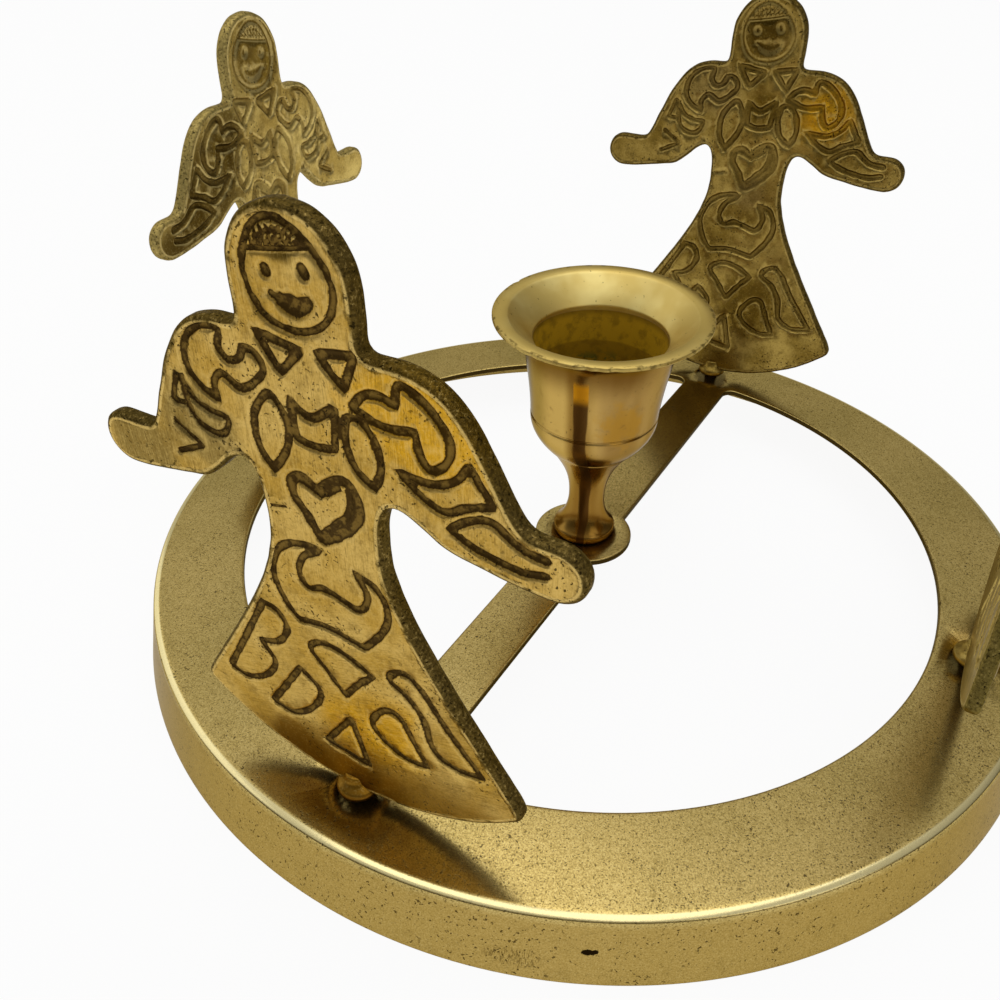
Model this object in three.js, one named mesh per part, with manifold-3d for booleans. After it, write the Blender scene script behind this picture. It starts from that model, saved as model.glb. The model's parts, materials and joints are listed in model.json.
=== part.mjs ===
// Angel taper candle holder: a turned brass cup on a pressed ring, with four cast angels that swivel.
// Sizes are millimetres and +Z is up. The origin lies on the table, under the ring's centre.
// The bar that carries the cup runs along Y, and the front angel stands at -Y.
import * as THREE from "three";
import { mergeVertices } from "three/addons/utils/BufferGeometryUtils.js";
import Module from "manifold-3d";

// Pressed ring, with the bar across its middle
const sheet = 1.2; // thickness of the brass sheet
const ringDiameter = 152; // outside of the skirt at its foot
const ringHeight = 10.5; // table to the top face
const bendInside = 0.2; // inner radius of the bend between top face and skirt
const skirtLean = 12.5; // degrees that the skirt spreads outwards
const bandWidth = 16.6; // foot of the skirt in to the two openings
const barWidth = 9.4;
const barShift = 1; // the bar lies this far to the right of the ring's centre
const padShift = 2.2; // the pad lies this far in front of the ring's centre
const padMargin = 3.7; // the round pad under the cup stands out this far past each edge of the bar
const cornerFillet = 2; // where the bar runs into the ring

// Turned candle cup
const boreDiameter = 21.8; // mouth of the bore, for a taper candle
const boreFloorDiameter = 18.4;
const boreDepth = 14; // shoulder of the bore to its floor
const flareHeight = 4.4; // shoulder of the bore to the top of the lip
const lipDiameter = 33.6;
const lipWidth = 2.2; // flat top of the lip
const lipEdge = 0.7; // thickness of the lip's rim
const cupWall = 1.15;
const bowlDepth = 6.6; // floor of the bore down to the lower turned line
const bowlFootDiameter = 13.1; // the bowl at the lower turned line
const stemRise = 9; // thinnest part of the stem up to the lower turned line
const stemDiameter = 6;
const stemHeight = 7.2; // pad to the thinnest part of the stem
const footDiameter = 11;
const footEdge = 1.8; // upright edge of the foot
const cupShift = 0.9; // the cup's axis lies this far in front of the ring's centre

// Cast angel: a flat two-sided figure, measured up from the lowest point of its hem
const plate = 2; // thickness of the casting
const plateEdge = 0.6; // rounding of its outline
const hemGap = 1.2; // ring's top face to the hem
const hemWidth = 47;
const hemRise = 9.6; // lowest point of the hem up to its corners
const waistWidth = 14.4;
const waistHeight = 41.5;
const armpitWidth = 17.4;
const armpitHeight = 48.3;
const shoulderHeight = 63;
const headWidth = 13.6;
const headHeight = 12.2; // shoulders to the crown
const handRadius = 3.2;
const figureShift = 0.9; // the figure's middle stands this far to the right of its lug

// The two arms differ a little. Reaches are measured out from the figure's middle,
// and the hand's reach and drop from the wrist.
const rightArm = {
  shoulderReach: 17.5,
  elbowReach: 17.5,
  wristReach: 22.6,
  wristHeight: 50,
  handReach: 3,
  handDrop: 3.1,
  sleeveReach: 15.5,
  sleeveHeight: 45,
};
const leftArm = {
  shoulderReach: 15.5,
  elbowReach: 17,
  wristReach: 21.4,
  wristHeight: 48,
  handReach: 4.8,
  handDrop: 3,
  sleeveReach: 15.5,
  sleeveHeight: 43.4,
};

// Round lug under each hem, which turns on the ring
const lugInset = 11.2; // foot of the skirt in to the axis of a lug
const lugDiameter = 5.6;
const lugHeight = 4.6; // foot of the lug to the top of its dome
const lugDome = 1.2;
const tappedDepth = 2.9; // tapped hole in the lug

// Screws and washers, under the ring
const screwDiameter = 2.5;
const headDiameter = 5;
const headThickness = 1.7;
const slotWidth = 0.7;
const slotDepth = 0.8;
const washerDiameter = 7;
const washerThickness = 0.8;
const cupTappedDepth = 5.2; // tapped hole in the cup's foot

// Clearances
const holeClearance = 0.3; // round a screw, all the way
const swivelGap = 0.3; // above and below the sheet, where an angel turns
const tipClearance = 0.3; // tip of a screw to the end of its hole

// Where each angel stands and the way it has been turned, in degrees anticlockwise from above
const angels = [
  { name: "front_angel", place: -90, heading: 2.1 },
  { name: "right_angel", place: 0, heading: 90 },
  { name: "back_angel", place: 90, heading: 3.3 },
  { name: "left_angel", place: 180, heading: -84.4 },
];

// Fineness of the round shapes
const ringSteps = 72;
const cupSteps = 40;
const smallSteps = 18;
const curveSteps = 7;

const wasm = await Module();
wasm.setup();

const radians = THREE.MathUtils.degToRad;
const point = (x, y) => new THREE.Vector2(x, y);

const castBrass = new THREE.MeshStandardMaterial({ color: 0xa88a4e, roughness: 0.5, metalness: 0.9 });
const pressedBrass = new THREE.MeshStandardMaterial({ color: 0xa08a55, roughness: 0.42, metalness: 0.9 });
const turnedBrass = new THREE.MeshStandardMaterial({ color: 0xc4a263, roughness: 0.25, metalness: 0.95 });
const screwBrass = new THREE.MeshStandardMaterial({ color: 0x8f7a4a, roughness: 0.45, metalness: 0.9 });

// Points along an arc, from one angle to another in radians.
function arc(x, y, radius, from, to, steps) {
  const clockwise = to < from;
  return new THREE.EllipseCurve(x, y, radius, radius, from, to, clockwise).getPoints(steps);
}

// Points along a cubic curve from start to end, without its start.
function curve(start, pullStart, pullEnd, end, steps = curveSteps) {
  return new THREE.CubicBezierCurve(start, pullStart, pullEnd, end).getPoints(steps).slice(1);
}

// The closed solid of a three.js geometry.
function solid(geometry) {
  const bare = geometry.clone();
  bare.deleteAttribute("normal");
  bare.deleteAttribute("uv");
  const welded = mergeVertices(bare, 1e-4);
  const vertProperties = welded.attributes.position.array;
  const triVerts = new Uint32Array(welded.index.array);
  return new wasm.Manifold(new wasm.Mesh({ numProp: 3, vertProperties, triVerts }));
}

// A turned solid about Z. Its profile runs anticlockwise in radius and height.
function turned(profile, steps) {
  return solid(new THREE.LatheGeometry(profile, steps).rotateX(Math.PI / 2));
}

// A flat outline in X and Y, raised from one height to another.
function raised(outline, bottom, top) {
  const shape = new THREE.Shape(outline);
  const geometry = new THREE.ExtrudeGeometry(shape, { depth: top - bottom, bevelEnabled: false });
  return solid(geometry.translate(0, 0, bottom));
}

// A round hole or pin along Z.
function rod(diameter, bottom, top) {
  const geometry = new THREE.CylinderGeometry(diameter / 2, diameter / 2, top - bottom, smallSteps);
  return solid(geometry.rotateX(Math.PI / 2).translate(0, 0, (bottom + top) / 2));
}

function mesh(name, shape, material) {
  const { vertProperties, triVerts } = shape.getMesh();
  const geometry = new THREE.BufferGeometry();
  geometry.setAttribute("position", new THREE.BufferAttribute(new Float32Array(vertProperties), 3));
  geometry.setIndex(new THREE.BufferAttribute(new Uint32Array(triVerts), 1));
  geometry.computeVertexNormals();
  const made = new THREE.Mesh(geometry, material);
  made.name = name;
  return made;
}

const underside = ringHeight - sheet;
const screwHole = screwDiameter + 2 * holeClearance;

// Where a lug stands on the ring, at an angle in degrees.
function lugPlace(angle) {
  return point(ringDiameter / 2 - lugInset, 0).rotateAround(point(0, 0), radians(angle));
}

// The pressed cap before it is punched: a flat disc with its skirt turned down.
function pressedCap() {
  const lean = radians(skirtLean);
  const bendOutside = bendInside + sheet;
  const bendHeight = ringHeight - bendOutside;
  const skirtTop = bendHeight + bendOutside * Math.sin(lean);
  const footRadius = ringDiameter / 2;
  const bendRadius = footRadius - bendOutside * Math.cos(lean) - skirtTop * Math.tan(lean);
  const profile = [
    point(0, underside),
    ...arc(bendRadius, bendHeight, bendInside, Math.PI / 2, lean, 2),
    point(footRadius - sheet / Math.cos(lean), 0),
    point(footRadius, 0),
    ...arc(bendRadius, bendHeight, bendOutside, lean, Math.PI / 2, 5),
    point(0, ringHeight),
  ];
  return turned(profile, ringSteps);
}

// One of the two openings beside the bar, drawn on the right. Side is 1 for the right and -1 for the left.
function opening(side) {
  const inner = ringDiameter / 2 - bandWidth;
  const padRadius = barWidth / 2 + padMargin;
  const padCentre = side * barShift;
  const padMiddle = -side * padShift;
  const edge = padCentre + barWidth / 2;
  const filletX = edge + cornerFillet;
  const filletY = Math.sqrt((inner - cornerFillet) ** 2 - filletX ** 2);
  const filletEnd = Math.atan2(filletY, filletX);
  const padEnd = Math.acos(barWidth / 2 / padRadius);
  const outline = [
    ...arc(filletX, -filletY, cornerFillet, Math.PI, 2 * Math.PI - filletEnd, 4),
    ...arc(0, 0, inner, -filletEnd, filletEnd, ringSteps / 2).slice(1, -1),
    ...arc(filletX, filletY, cornerFillet, filletEnd, Math.PI, 4),
    ...arc(padCentre, padMiddle, padRadius, padEnd, -padEnd, 12),
  ];
  const cut = raised(outline, underside - sheet, ringHeight + sheet);
  return side > 0 ? cut : cut.rotate([0, 0, 180]);
}

function baseRing() {
  const hole = rod(screwHole, underside - sheet, ringHeight + sheet);
  let ring = pressedCap().subtract(opening(1)).subtract(opening(-1));
  ring = ring.subtract(hole.translate([barShift, -cupShift, 0]));
  for (const { place } of angels) {
    const { x, y } = lugPlace(place);
    ring = ring.subtract(hole.translate([x, y, 0]));
  }
  return ring;
}

// The cup stands with its foot at height 0.
function candleCup() {
  const bowlFoot = stemHeight + stemRise;
  const floor = bowlFoot + bowlDepth;
  const shoulder = floor + boreDepth;
  const cupHeight = shoulder + flareHeight;
  const bore = boreDiameter / 2;
  const boreFloor = boreFloorDiameter / 2;
  const lip = lipDiameter / 2;
  const foot = point(footDiameter / 2, footEdge);
  const stem = point(stemDiameter / 2, stemHeight);
  const stemFlare = point(bowlFootDiameter * 0.375, bowlFoot - 2.5);
  const bowlStart = point(bowlFootDiameter / 2, bowlFoot);
  const bowlEnd = point(boreFloor + cupWall, floor);
  const neck = point(bore + cupWall, shoulder);
  const rim = point(lip, cupHeight - lipEdge);
  const lipInside = point(lip - lipWidth, cupHeight);
  const boreMouth = point(bore, shoulder);
  const profile = [
    point(0, 0),
    point(footDiameter / 2, 0),
    foot,
    ...curve(foot, point(foot.x * 0.75, foot.y), point(stem.x, foot.y + 1.6), stem, 5),
    ...curve(stem, point(stem.x, stemHeight + stemRise / 2), stemFlare, bowlStart, 6),
    ...curve(bowlStart, point(bowlEnd.x * 0.87, bowlFoot + 2.5), point(bowlEnd.x, floor - 2), bowlEnd, 5),
    ...curve(bowlEnd, point(bowlEnd.x, floor + 4), point(neck.x - 0.8, shoulder - 4), neck, 4),
    ...curve(neck, point(neck.x + 0.8, shoulder + 2), point(rim.x - 2.5, rim.y - 0.9), rim, 4),
    point(lip, cupHeight),
    lipInside,
    ...curve(lipInside, point(bore + 2, cupHeight - 0.8), point(bore, shoulder + 2), boreMouth, 4),
    point(boreFloor, floor),
    point(0, floor),
  ];
  return turned(profile, cupSteps).subtract(rod(screwHole, -cupTappedDepth, cupTappedDepth));
}

// One arm of the figure from the neck to the armpit. Side is 1 for the right and -1 for the left.
function armOutline(side, arm) {
  const at = (x, y) => point(side * x, y);
  const neck = at(headWidth / 2, shoulderHeight);
  const wrist = at(arm.wristReach, arm.wristHeight);
  const armpit = at(armpitWidth / 2, armpitHeight);
  const handTop = 1.95;
  const handBottom = 4.4;
  const palm = point(arm.wristReach + arm.handReach, arm.wristHeight - arm.handDrop);
  const hand = arc(palm.x, palm.y, handRadius, handTop, handBottom - 2 * Math.PI, 8);
  const fingers = hand.map(({ x, y }) => at(x, y));
  const cuff = fingers.at(-1);
  const sleeve = at(arm.sleeveReach, arm.sleeveHeight);
  const shoulderPull = at(arm.shoulderReach, shoulderHeight + 1.6);
  const elbowPull = at(arm.elbowReach, shoulderHeight - 5.4);
  const cuffPull = at(palm.x - 4, cuff.y);
  const sleevePull = at(arm.sleeveReach + 3, arm.sleeveHeight - 0.3);
  const sleeveLift = at(arm.sleeveReach - 2, arm.sleeveHeight + 0.3);
  const armpitPull = at(armpitWidth / 2 + 2, armpitHeight);
  return [
    neck,
    ...curve(neck, shoulderPull, elbowPull, wrist),
    ...fingers,
    ...curve(cuff, cuffPull, sleevePull, sleeve, 4),
    ...curve(sleeve, sleeveLift, armpitPull, armpit, 4),
  ];
}

// One side of the robe from the armpit to the hem's corner, without the armpit itself.
function robeOutline(side) {
  const at = (x, y) => point(side * x, y);
  const armpit = at(armpitWidth / 2, armpitHeight);
  const waist = at(waistWidth / 2, waistHeight);
  const corner = at(hemWidth / 2, hemRise);
  const fall = waistHeight - hemRise;
  const bodicePull = at(waistWidth / 2, armpitHeight - 1);
  const waistLift = at(waistWidth / 2, waistHeight + 2);
  const waistPull = at(waistWidth / 2, waistHeight - fall * 0.25);
  const hemPull = at((hemWidth + waistWidth) / 4, hemRise + fall * 0.42);
  return [
    ...curve(armpit, bodicePull, waistLift, waist, 3),
    ...curve(waist, waistPull, hemPull, corner),
  ];
}

// The whole figure, anticlockwise from the right of the neck.
function angelOutline() {
  const sweep = (hemWidth ** 2 / 4 + hemRise ** 2) / (2 * hemRise);
  const hemEnd = Math.asin(hemWidth / 2 / sweep);
  const headSide = shoulderHeight + headHeight - headWidth / 2;
  const right = [...armOutline(1, rightArm), ...robeOutline(1)];
  const left = [...armOutline(-1, leftArm), ...robeOutline(-1)];
  return [
    ...arc(0, headSide, headWidth / 2, 0, Math.PI, 12),
    ...left,
    ...arc(0, sweep, sweep, -Math.PI / 2 - hemEnd, -Math.PI / 2 + hemEnd, 14).slice(1, -1),
    ...right.reverse(),
  ];
}

// One casting, with its lug's axis on Z and the ring's top face at height 0. Its front looks towards -Y.
function castAngel() {
  const shape = new THREE.Shape(angelOutline());
  const figure = new THREE.ExtrudeGeometry(shape, {
    depth: plate - 2 * plateEdge,
    bevelThickness: plateEdge,
    bevelSize: plateEdge,
    bevelOffset: -plateEdge,
    bevelSegments: 2,
  });
  figure.translate(0, 0, plateEdge - plate / 2).rotateX(Math.PI / 2).translate(figureShift, 0, hemGap);
  const hole = rod(screwHole, -tappedDepth, swivelGap + tappedDepth);
  return solid(figure).add(lug()).subtract(hole);
}

// The round lug, with a domed top.
function lug() {
  const radius = lugDiameter / 2;
  const top = swivelGap + lugHeight;
  const wallTop = point(radius, top - lugDome);
  const corner = point(radius, top);
  const profile = [
    point(0, swivelGap),
    point(radius, swivelGap),
    wallTop,
    ...curve(wallTop, corner, corner, point(0, top), 4),
  ];
  return turned(profile, smallSteps);
}

function screw(headTop, tip) {
  const headBottom = headTop - headThickness;
  const head = headDiameter / 2;
  const shank = screwDiameter / 2;
  const profile = [
    point(0, headBottom),
    point(head * 0.7, headBottom + headThickness * 0.15),
    point(head, headBottom + headThickness * 0.6),
    point(head, headTop),
    point(shank, headTop),
    point(shank, tip),
    point(0, tip),
  ];
  const slot = new THREE.BoxGeometry(2 * headDiameter, slotWidth, 2 * slotDepth);
  return turned(profile, smallSteps).subtract(solid(slot.translate(0, 0, headBottom)));
}

function washer(top) {
  const bottom = top - washerThickness;
  return rod(washerDiameter, bottom, top).subtract(rod(screwHole, bottom - sheet, top + sheet));
}

// A screw and its washer, drawn up against a seat from below.
function fastener(name, seat, holeEnd) {
  const headTop = seat - washerThickness;
  return [
    mesh(`${name}_screw`, screw(headTop, holeEnd - tipClearance), screwBrass),
    mesh(`${name}_washer`, washer(seat), screwBrass),
  ];
}

const holder = new THREE.Group();
holder.name = "angel_candle_holder";
holder.add(mesh("base_ring", baseRing(), pressedBrass));

const cup = new THREE.Group();
cup.position.set(barShift, -cupShift, ringHeight);
cup.add(mesh("candle_cup", candleCup(), turnedBrass));
cup.add(...fastener("cup", -sheet, cupTappedDepth));
holder.add(cup);

for (const { name, place, heading } of angels) {
  const figure = new THREE.Group();
  const { x, y } = lugPlace(place);
  figure.position.set(x, y, ringHeight);
  figure.rotation.z = radians(heading);
  figure.add(mesh(name, castAngel(), castBrass));
  figure.add(...fastener(name, -sheet - swivelGap, swivelGap + tappedDepth));
  holder.add(figure);
}

export default holder;
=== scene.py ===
# %% [markdown]
# This lesson dresses a brass holder for one taper candle. A turned cup stands on a bar across a
# pressed ring, and four flat cast angels swivel on the ring. The packed CAD model is the fixed
# frame: each piece made here goes where its solid is, in metres, and rides on that solid's body.
# Mesh code below is written in millimetres and scaled once, when a piece is made.

# %% Load the packed model
import json
import math

import bmesh
import bpy
import numpy as np
from mathutils import Matrix, Vector, noise
from mathutils.geometry import delaunay_2d_cdt


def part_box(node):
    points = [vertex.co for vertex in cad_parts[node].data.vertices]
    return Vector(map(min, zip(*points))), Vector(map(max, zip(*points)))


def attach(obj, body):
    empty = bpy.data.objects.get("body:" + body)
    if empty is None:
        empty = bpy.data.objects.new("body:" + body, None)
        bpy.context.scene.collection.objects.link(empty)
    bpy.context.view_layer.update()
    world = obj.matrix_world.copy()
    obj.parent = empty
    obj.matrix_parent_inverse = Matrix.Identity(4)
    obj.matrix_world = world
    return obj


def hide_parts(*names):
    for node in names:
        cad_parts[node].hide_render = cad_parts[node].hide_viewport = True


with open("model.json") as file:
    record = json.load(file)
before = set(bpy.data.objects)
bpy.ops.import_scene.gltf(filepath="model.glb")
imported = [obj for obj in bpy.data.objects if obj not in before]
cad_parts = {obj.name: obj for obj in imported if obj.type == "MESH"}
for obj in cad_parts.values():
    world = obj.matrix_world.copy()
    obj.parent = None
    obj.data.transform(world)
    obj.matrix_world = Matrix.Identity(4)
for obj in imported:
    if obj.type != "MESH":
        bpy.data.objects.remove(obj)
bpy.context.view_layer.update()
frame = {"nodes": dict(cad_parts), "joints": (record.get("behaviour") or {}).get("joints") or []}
MM = 0.001

# %% [markdown]
# The camera stands in front of the holder, a little to the right of the front angel, and looks
# down on it. Its place, its angles and its lens come from fitting the two edges of the ring,
# whose size is known, to the picture. A lens is easier to set in millimetres than as an angle:
# pixels of focal length times the sensor's width over the picture's width.

# %% Camera
CAMERA_PLACE = Vector((52.07, -116.96, 110.19)) * MM
CAMERA_TURN = math.radians(30.741)
CAMERA_TILT = math.radians(-36.75)
CAMERA_ROLL = math.radians(0.2165)
FOCAL_PIXELS = 901.03
PICTURE_PIXELS = 1000

lens = bpy.data.cameras.new("camera")
lens.sensor_width = 36
lens.lens = lens.sensor_width * FOCAL_PIXELS / PICTURE_PIXELS
lens.clip_start = 0.005
camera = bpy.data.objects.new("camera", lens)
turn = Matrix.Rotation(CAMERA_TURN, 4, "Z")
tilt = Matrix.Rotation(math.pi / 2 + CAMERA_TILT, 4, "X")
roll = Matrix.Rotation(CAMERA_ROLL, 4, "Z")
camera.matrix_world = Matrix.Translation(CAMERA_PLACE) @ turn @ tilt @ roll

scene = bpy.context.scene
scene.collection.objects.link(camera)
scene.camera = camera
scene.view_settings.view_transform = "Standard"
print("lens", round(lens.lens, 2), "mm")

# %% [markdown]
# Every finish in this file is a net of shader nodes. Clicking them together is fine for one
# material, but sums are easier to read as sums. So one small class holds a socket, and plus,
# minus and times on it add Math nodes. Its node method makes any other node: settings go in
# first, then the values or links of its inputs.


# %% A socket that can be reckoned with
class Wire:
    """One output of a shader node, or with no socket the bench that nodes are made on."""

    def __init__(self, tree, socket=None):
        self.tree = tree
        self.socket = socket

    def node(self, kind, settings=None, inputs=None, output=0):
        made = self.tree.nodes.new(kind)
        for name, value in (settings or {}).items():
            setattr(made, name, value)
        for name, value in (inputs or {}).items():
            if isinstance(value, Wire):
                self.tree.links.new(value.socket, made.inputs[name])
            else:
                made.inputs[name].default_value = value
        return Wire(self.tree, made.outputs[output] if made.outputs else None)

    def math(self, operation, *values):
        return self.node("ShaderNodeMath", {"operation": operation}, dict(enumerate(values)))

    def __add__(self, other):
        return self.math("ADD", self, other)

    def __sub__(self, other):
        return self.math("SUBTRACT", self, other)

    def __rsub__(self, other):
        return self.math("SUBTRACT", other, self)

    def __mul__(self, other):
        return self.math("MULTIPLY", self, other)

    __radd__ = __add__
    __rmul__ = __mul__


print("sums", [name for name in vars(Wire) if name.startswith(("__add", "__sub", "__mul", "__r"))])


# %% Helpers for colours
def paint(red, green, blue):
    """A colour as the eye reads it, from 0 to 255, turned into the light that Blender adds up."""
    shares = [channel / 255 for channel in (red, green, blue)]
    return (*[s / 12.92 if s <= 0.04045 else ((s + 0.055) / 1.055) ** 2.4 for s in shares], 1)


def bench_for(name):
    """A new material with an empty node tree."""
    material = bpy.data.materials.new(name)
    material.use_nodes = True
    material.node_tree.nodes.clear()
    return material, Wire(material.node_tree)


def fade(value, low, high):
    """Zero below low, one above high and a soft ramp between."""
    inputs = {"Value": value, "From Min": low, "From Max": high}
    return value.node("ShaderNodeMapRange", {"interpolation_type": "SMOOTHSTEP"}, inputs)


def blend(amount, first, second):
    """The first colour where amount is 0, the second where it is 1."""
    return amount.node("ShaderNodeMix", {"data_type": "RGBA"}, {0: amount, 6: first, 7: second}, 2)


def layered(colour, *coats):
    """Coats over a colour, the lowest first. Each is how much of it covers, and its own colour."""
    for amount, coat in coats:
        colour = blend(amount, colour, coat)
    return colour


def largest(*wires):
    found = wires[0]
    for wire in wires[1:]:
        found = found.math("MAXIMUM", found, wire)
    return found


print("a mid grey of 128 is", round(paint(128, 128, 128)[0], 3), "as light")


# %% Helpers for places
def axes(place):
    """The three coordinates of a place."""
    return [place.node("ShaderNodeSeparateXYZ", None, {0: place}, name) for name in "XYZ"]


def cloud(place, size, detail=3.0, seed=0.0, rough=0.55):
    """Soft noise from 0 to 1, with blots of about this size in millimetres."""
    inputs = {"Vector": place, "W": seed, "Scale": 1 / size, "Detail": detail, "Roughness": rough}
    return place.node("ShaderNodeTexNoise", {"noise_dimensions": "4D"}, inputs)


def stretched(place, x, y, z):
    """The same place with its three directions scaled, so that noise becomes streaks."""
    return place.node("ShaderNodeVectorMath", {"operation": "MULTIPLY"}, {0: place, 1: (x, y, z)})


def close_to(spot, place, inner, outer, ragged=0.0):
    """One within inner of a place, zero beyond outer."""
    reach = spot.node("ShaderNodeVectorMath", {"operation": "DISTANCE"}, {0: spot, 1: place}, "Value")
    return 1 - fade(reach + ragged, inner, outer)


def millimetres(bench):
    """Where a point lies in its own piece, in millimetres."""
    spot = bench.node("ShaderNodeTexCoord", output="Object")
    return bench.node("ShaderNodeVectorMath", {"operation": "SCALE"}, {0: spot, "Scale": 1 / MM})


print("places are in units of", MM, "m")

# %% The end of a brass finish
TARNISHED_EDGE = (0.62, 0.57, 0.47, 1)


def close_metal(bench, colour, roughness, metallic, height, depth):
    """The shader at the end of a brass finish. Height is bump in millimetres times depth."""
    inputs = {"Strength": 1.0, "Distance": depth * MM, "Height": height}
    bump = bench.node("ShaderNodeBump", None, inputs)
    inputs = {"Base Color": colour, "Roughness": roughness, "Metallic": metallic, "Normal": bump,
              "Specular Tint": TARNISHED_EDGE}
    shader = bench.node("ShaderNodeBsdfPrincipled", None, inputs)
    bench.node("ShaderNodeOutputMaterial", None, {"Surface": shader})


print("tint at the edge", TARNISHED_EDGE[:3])

# %% [markdown]
# The picture has a plain white ground. A white floor lit by lamps never comes out evenly white,
# so to the eye of the camera, and in the brass, this one mostly glows by itself, and a small share
# of white paint takes the soft shadow of the holder. From below the floor is clear, so that the
# underside of the holder can be looked at too.

# %% Floor
FLOOR_HALF = 3.0
FLOOR_DROP = 0.00005
FLOOR_GLOW = 0.93

corners = [(x * FLOOR_HALF, y * FLOOR_HALF, -FLOOR_DROP) for x, y in ((-1, -1), (1, -1), (1, 1), (-1, 1))]
floor_mesh = bpy.data.meshes.new("floor")
floor_mesh.from_pydata(corners, [], [(0, 1, 2, 3)])
floor = bpy.data.objects.new("floor", floor_mesh)
scene.collection.objects.link(floor)


def rays(bench, *kinds):
    """One for light of these kinds: straight to the camera, in a reflection or through glass."""
    return largest(*[bench.node("ShaderNodeLightPath", output=f"Is {kind} Ray") for kind in kinds])


floor_paint, bench = bench_for("floor_paint")
white_paint = bench.node("ShaderNodeBsdfDiffuse", None, {"Color": paint(238, 238, 236)})
glow = bench.node("ShaderNodeEmission", None, {"Color": (1, 1, 1, 1), "Strength": 1.0})
amount = rays(bench, "Camera", "Glossy", "Transmission") * FLOOR_GLOW
mixed = bench.node("ShaderNodeMixShader", None, {0: amount, 1: white_paint, 2: glow})
from_below = bench.node("ShaderNodeNewGeometry", output="Backfacing")
clear = bench.node("ShaderNodeBsdfTransparent")
mixed = bench.node("ShaderNodeMixShader", None, {0: from_below, 1: mixed, 2: clear})
bench.node("ShaderNodeOutputMaterial", None, {"Surface": mixed})
floor_mesh.materials.append(floor_paint)
print("floor of", 2 * FLOOR_HALF, "m")

# %% [markdown]
# Brass shows what stands round it, so the room matters as much as the lamps. The room is bright
# overhead, paler at the back and dim towards the camera, so that faces turned to the camera stay
# dark and deep. A lamp overhead draws the thin bright line along the bend of the ring. A window
# on the left and a weak card on the right model the cup and the edges of the castings.

# %% Room and lamps
FAR_SIDE = Vector((-0.75, 0.6, 0.15))
ROOM_NEAR, ROOM_FAR, ROOM_OVERHEAD = 0.14, 0.55, 0.46
LAMPS = {
    "overhead": ((0.0, 0.04, 1.1), 1.0, 3.5),
    "window": ((-1.0, -0.15, 0.6), 0.9, 1.4),
    "card": ((0.85, -0.3, 0.55), 0.6, 0.9),
}

world = bpy.data.worlds.new("room")
world.use_nodes = True
world.node_tree.nodes.clear()
scene.world = world
bench = Wire(world.node_tree)
direction = bench.node("ShaderNodeTexCoord", output="Generated")
overhead = axes(direction)[2]
inputs = {0: direction, 1: FAR_SIDE.normalized()}
farness = bench.node("ShaderNodeVectorMath", {"operation": "DOT_PRODUCT"}, inputs, "Value")
far_wall = fade(farness, 0.0, 0.9) * (1 - 0.5 * fade(overhead, 0.15, 0.5))
level = ROOM_NEAR + ROOM_FAR * far_wall + ROOM_OVERHEAD * fade(overhead, 0.2, 0.95)
white = rays(bench, "Camera", "Transmission")
strength = level + (1 - level) * white
room = bench.node("ShaderNodeBackground", None, {"Color": (1, 1, 1, 1), "Strength": strength})
bench.node("ShaderNodeOutputWorld", None, {"Surface": room})

for name, (place, side, watts) in LAMPS.items():
    lamp = bpy.data.lights.new(name, "AREA")
    lamp.size = side
    lamp.energy = watts
    holder = bpy.data.objects.new(name, lamp)
    holder.location = place
    holder.rotation_euler = (-Vector(place)).to_track_quat("-Z", "Y").to_euler()
    scene.collection.objects.link(holder)
print("lamps", list(LAMPS))

# %% [markdown]
# A piece is gathered loop by loop: a loop is a closed row of corners, and a strip of faces joins
# two loops. Turned and pressed brass is made of little else. Where a flat sheet with holes has to
# be filled, Blender's own Delaunay triangulation joins the loops, and the triangles that fall in
# a hole are left out. A few curves come first.

# %% Curves and what lies inside them
TINY = 1e-9


def inside(rim, spots):
    """Which of these flat spots lie inside a closed line of points."""
    x, y = spots[:, :1], spots[:, 1:]
    ax, ay = rim[:, 0], rim[:, 1]
    bx, by = np.roll(ax, -1), np.roll(ay, -1)
    spans = (ay > y) != (by > y)
    rise = np.where(by == ay, TINY, by - ay)
    crossing = ax + (y - ay) / rise * (bx - ax)
    return (spans & (x < crossing)).sum(axis=1) % 2 == 1


def arc(x, y, radius, start, end, steps):
    """Points on an arc between two angles in radians."""
    angles = np.linspace(start, end, steps + 1)
    return np.stack([x + radius * np.cos(angles), y + radius * np.sin(angles)], axis=1)


def bend(start, pull_start, pull_end, end, steps=14):
    """Points on a cubic curve, without its first."""
    t = np.linspace(0, 1, steps + 1)[1:, None]
    start, pull_start, pull_end, end = np.array((start, pull_start, pull_end, end), float)
    ends = (1 - t) ** 3 * start + t ** 3 * end
    return ends + 3 * (1 - t) ** 2 * t * pull_start + 3 * (1 - t) * t ** 2 * pull_end


print("a quarter arc of 4 steps has", len(arc(0, 0, 1, 0, math.pi / 2, 4)), "points")

# %% A skin made of loops
SAME_SPOT = 1e-5


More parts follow.
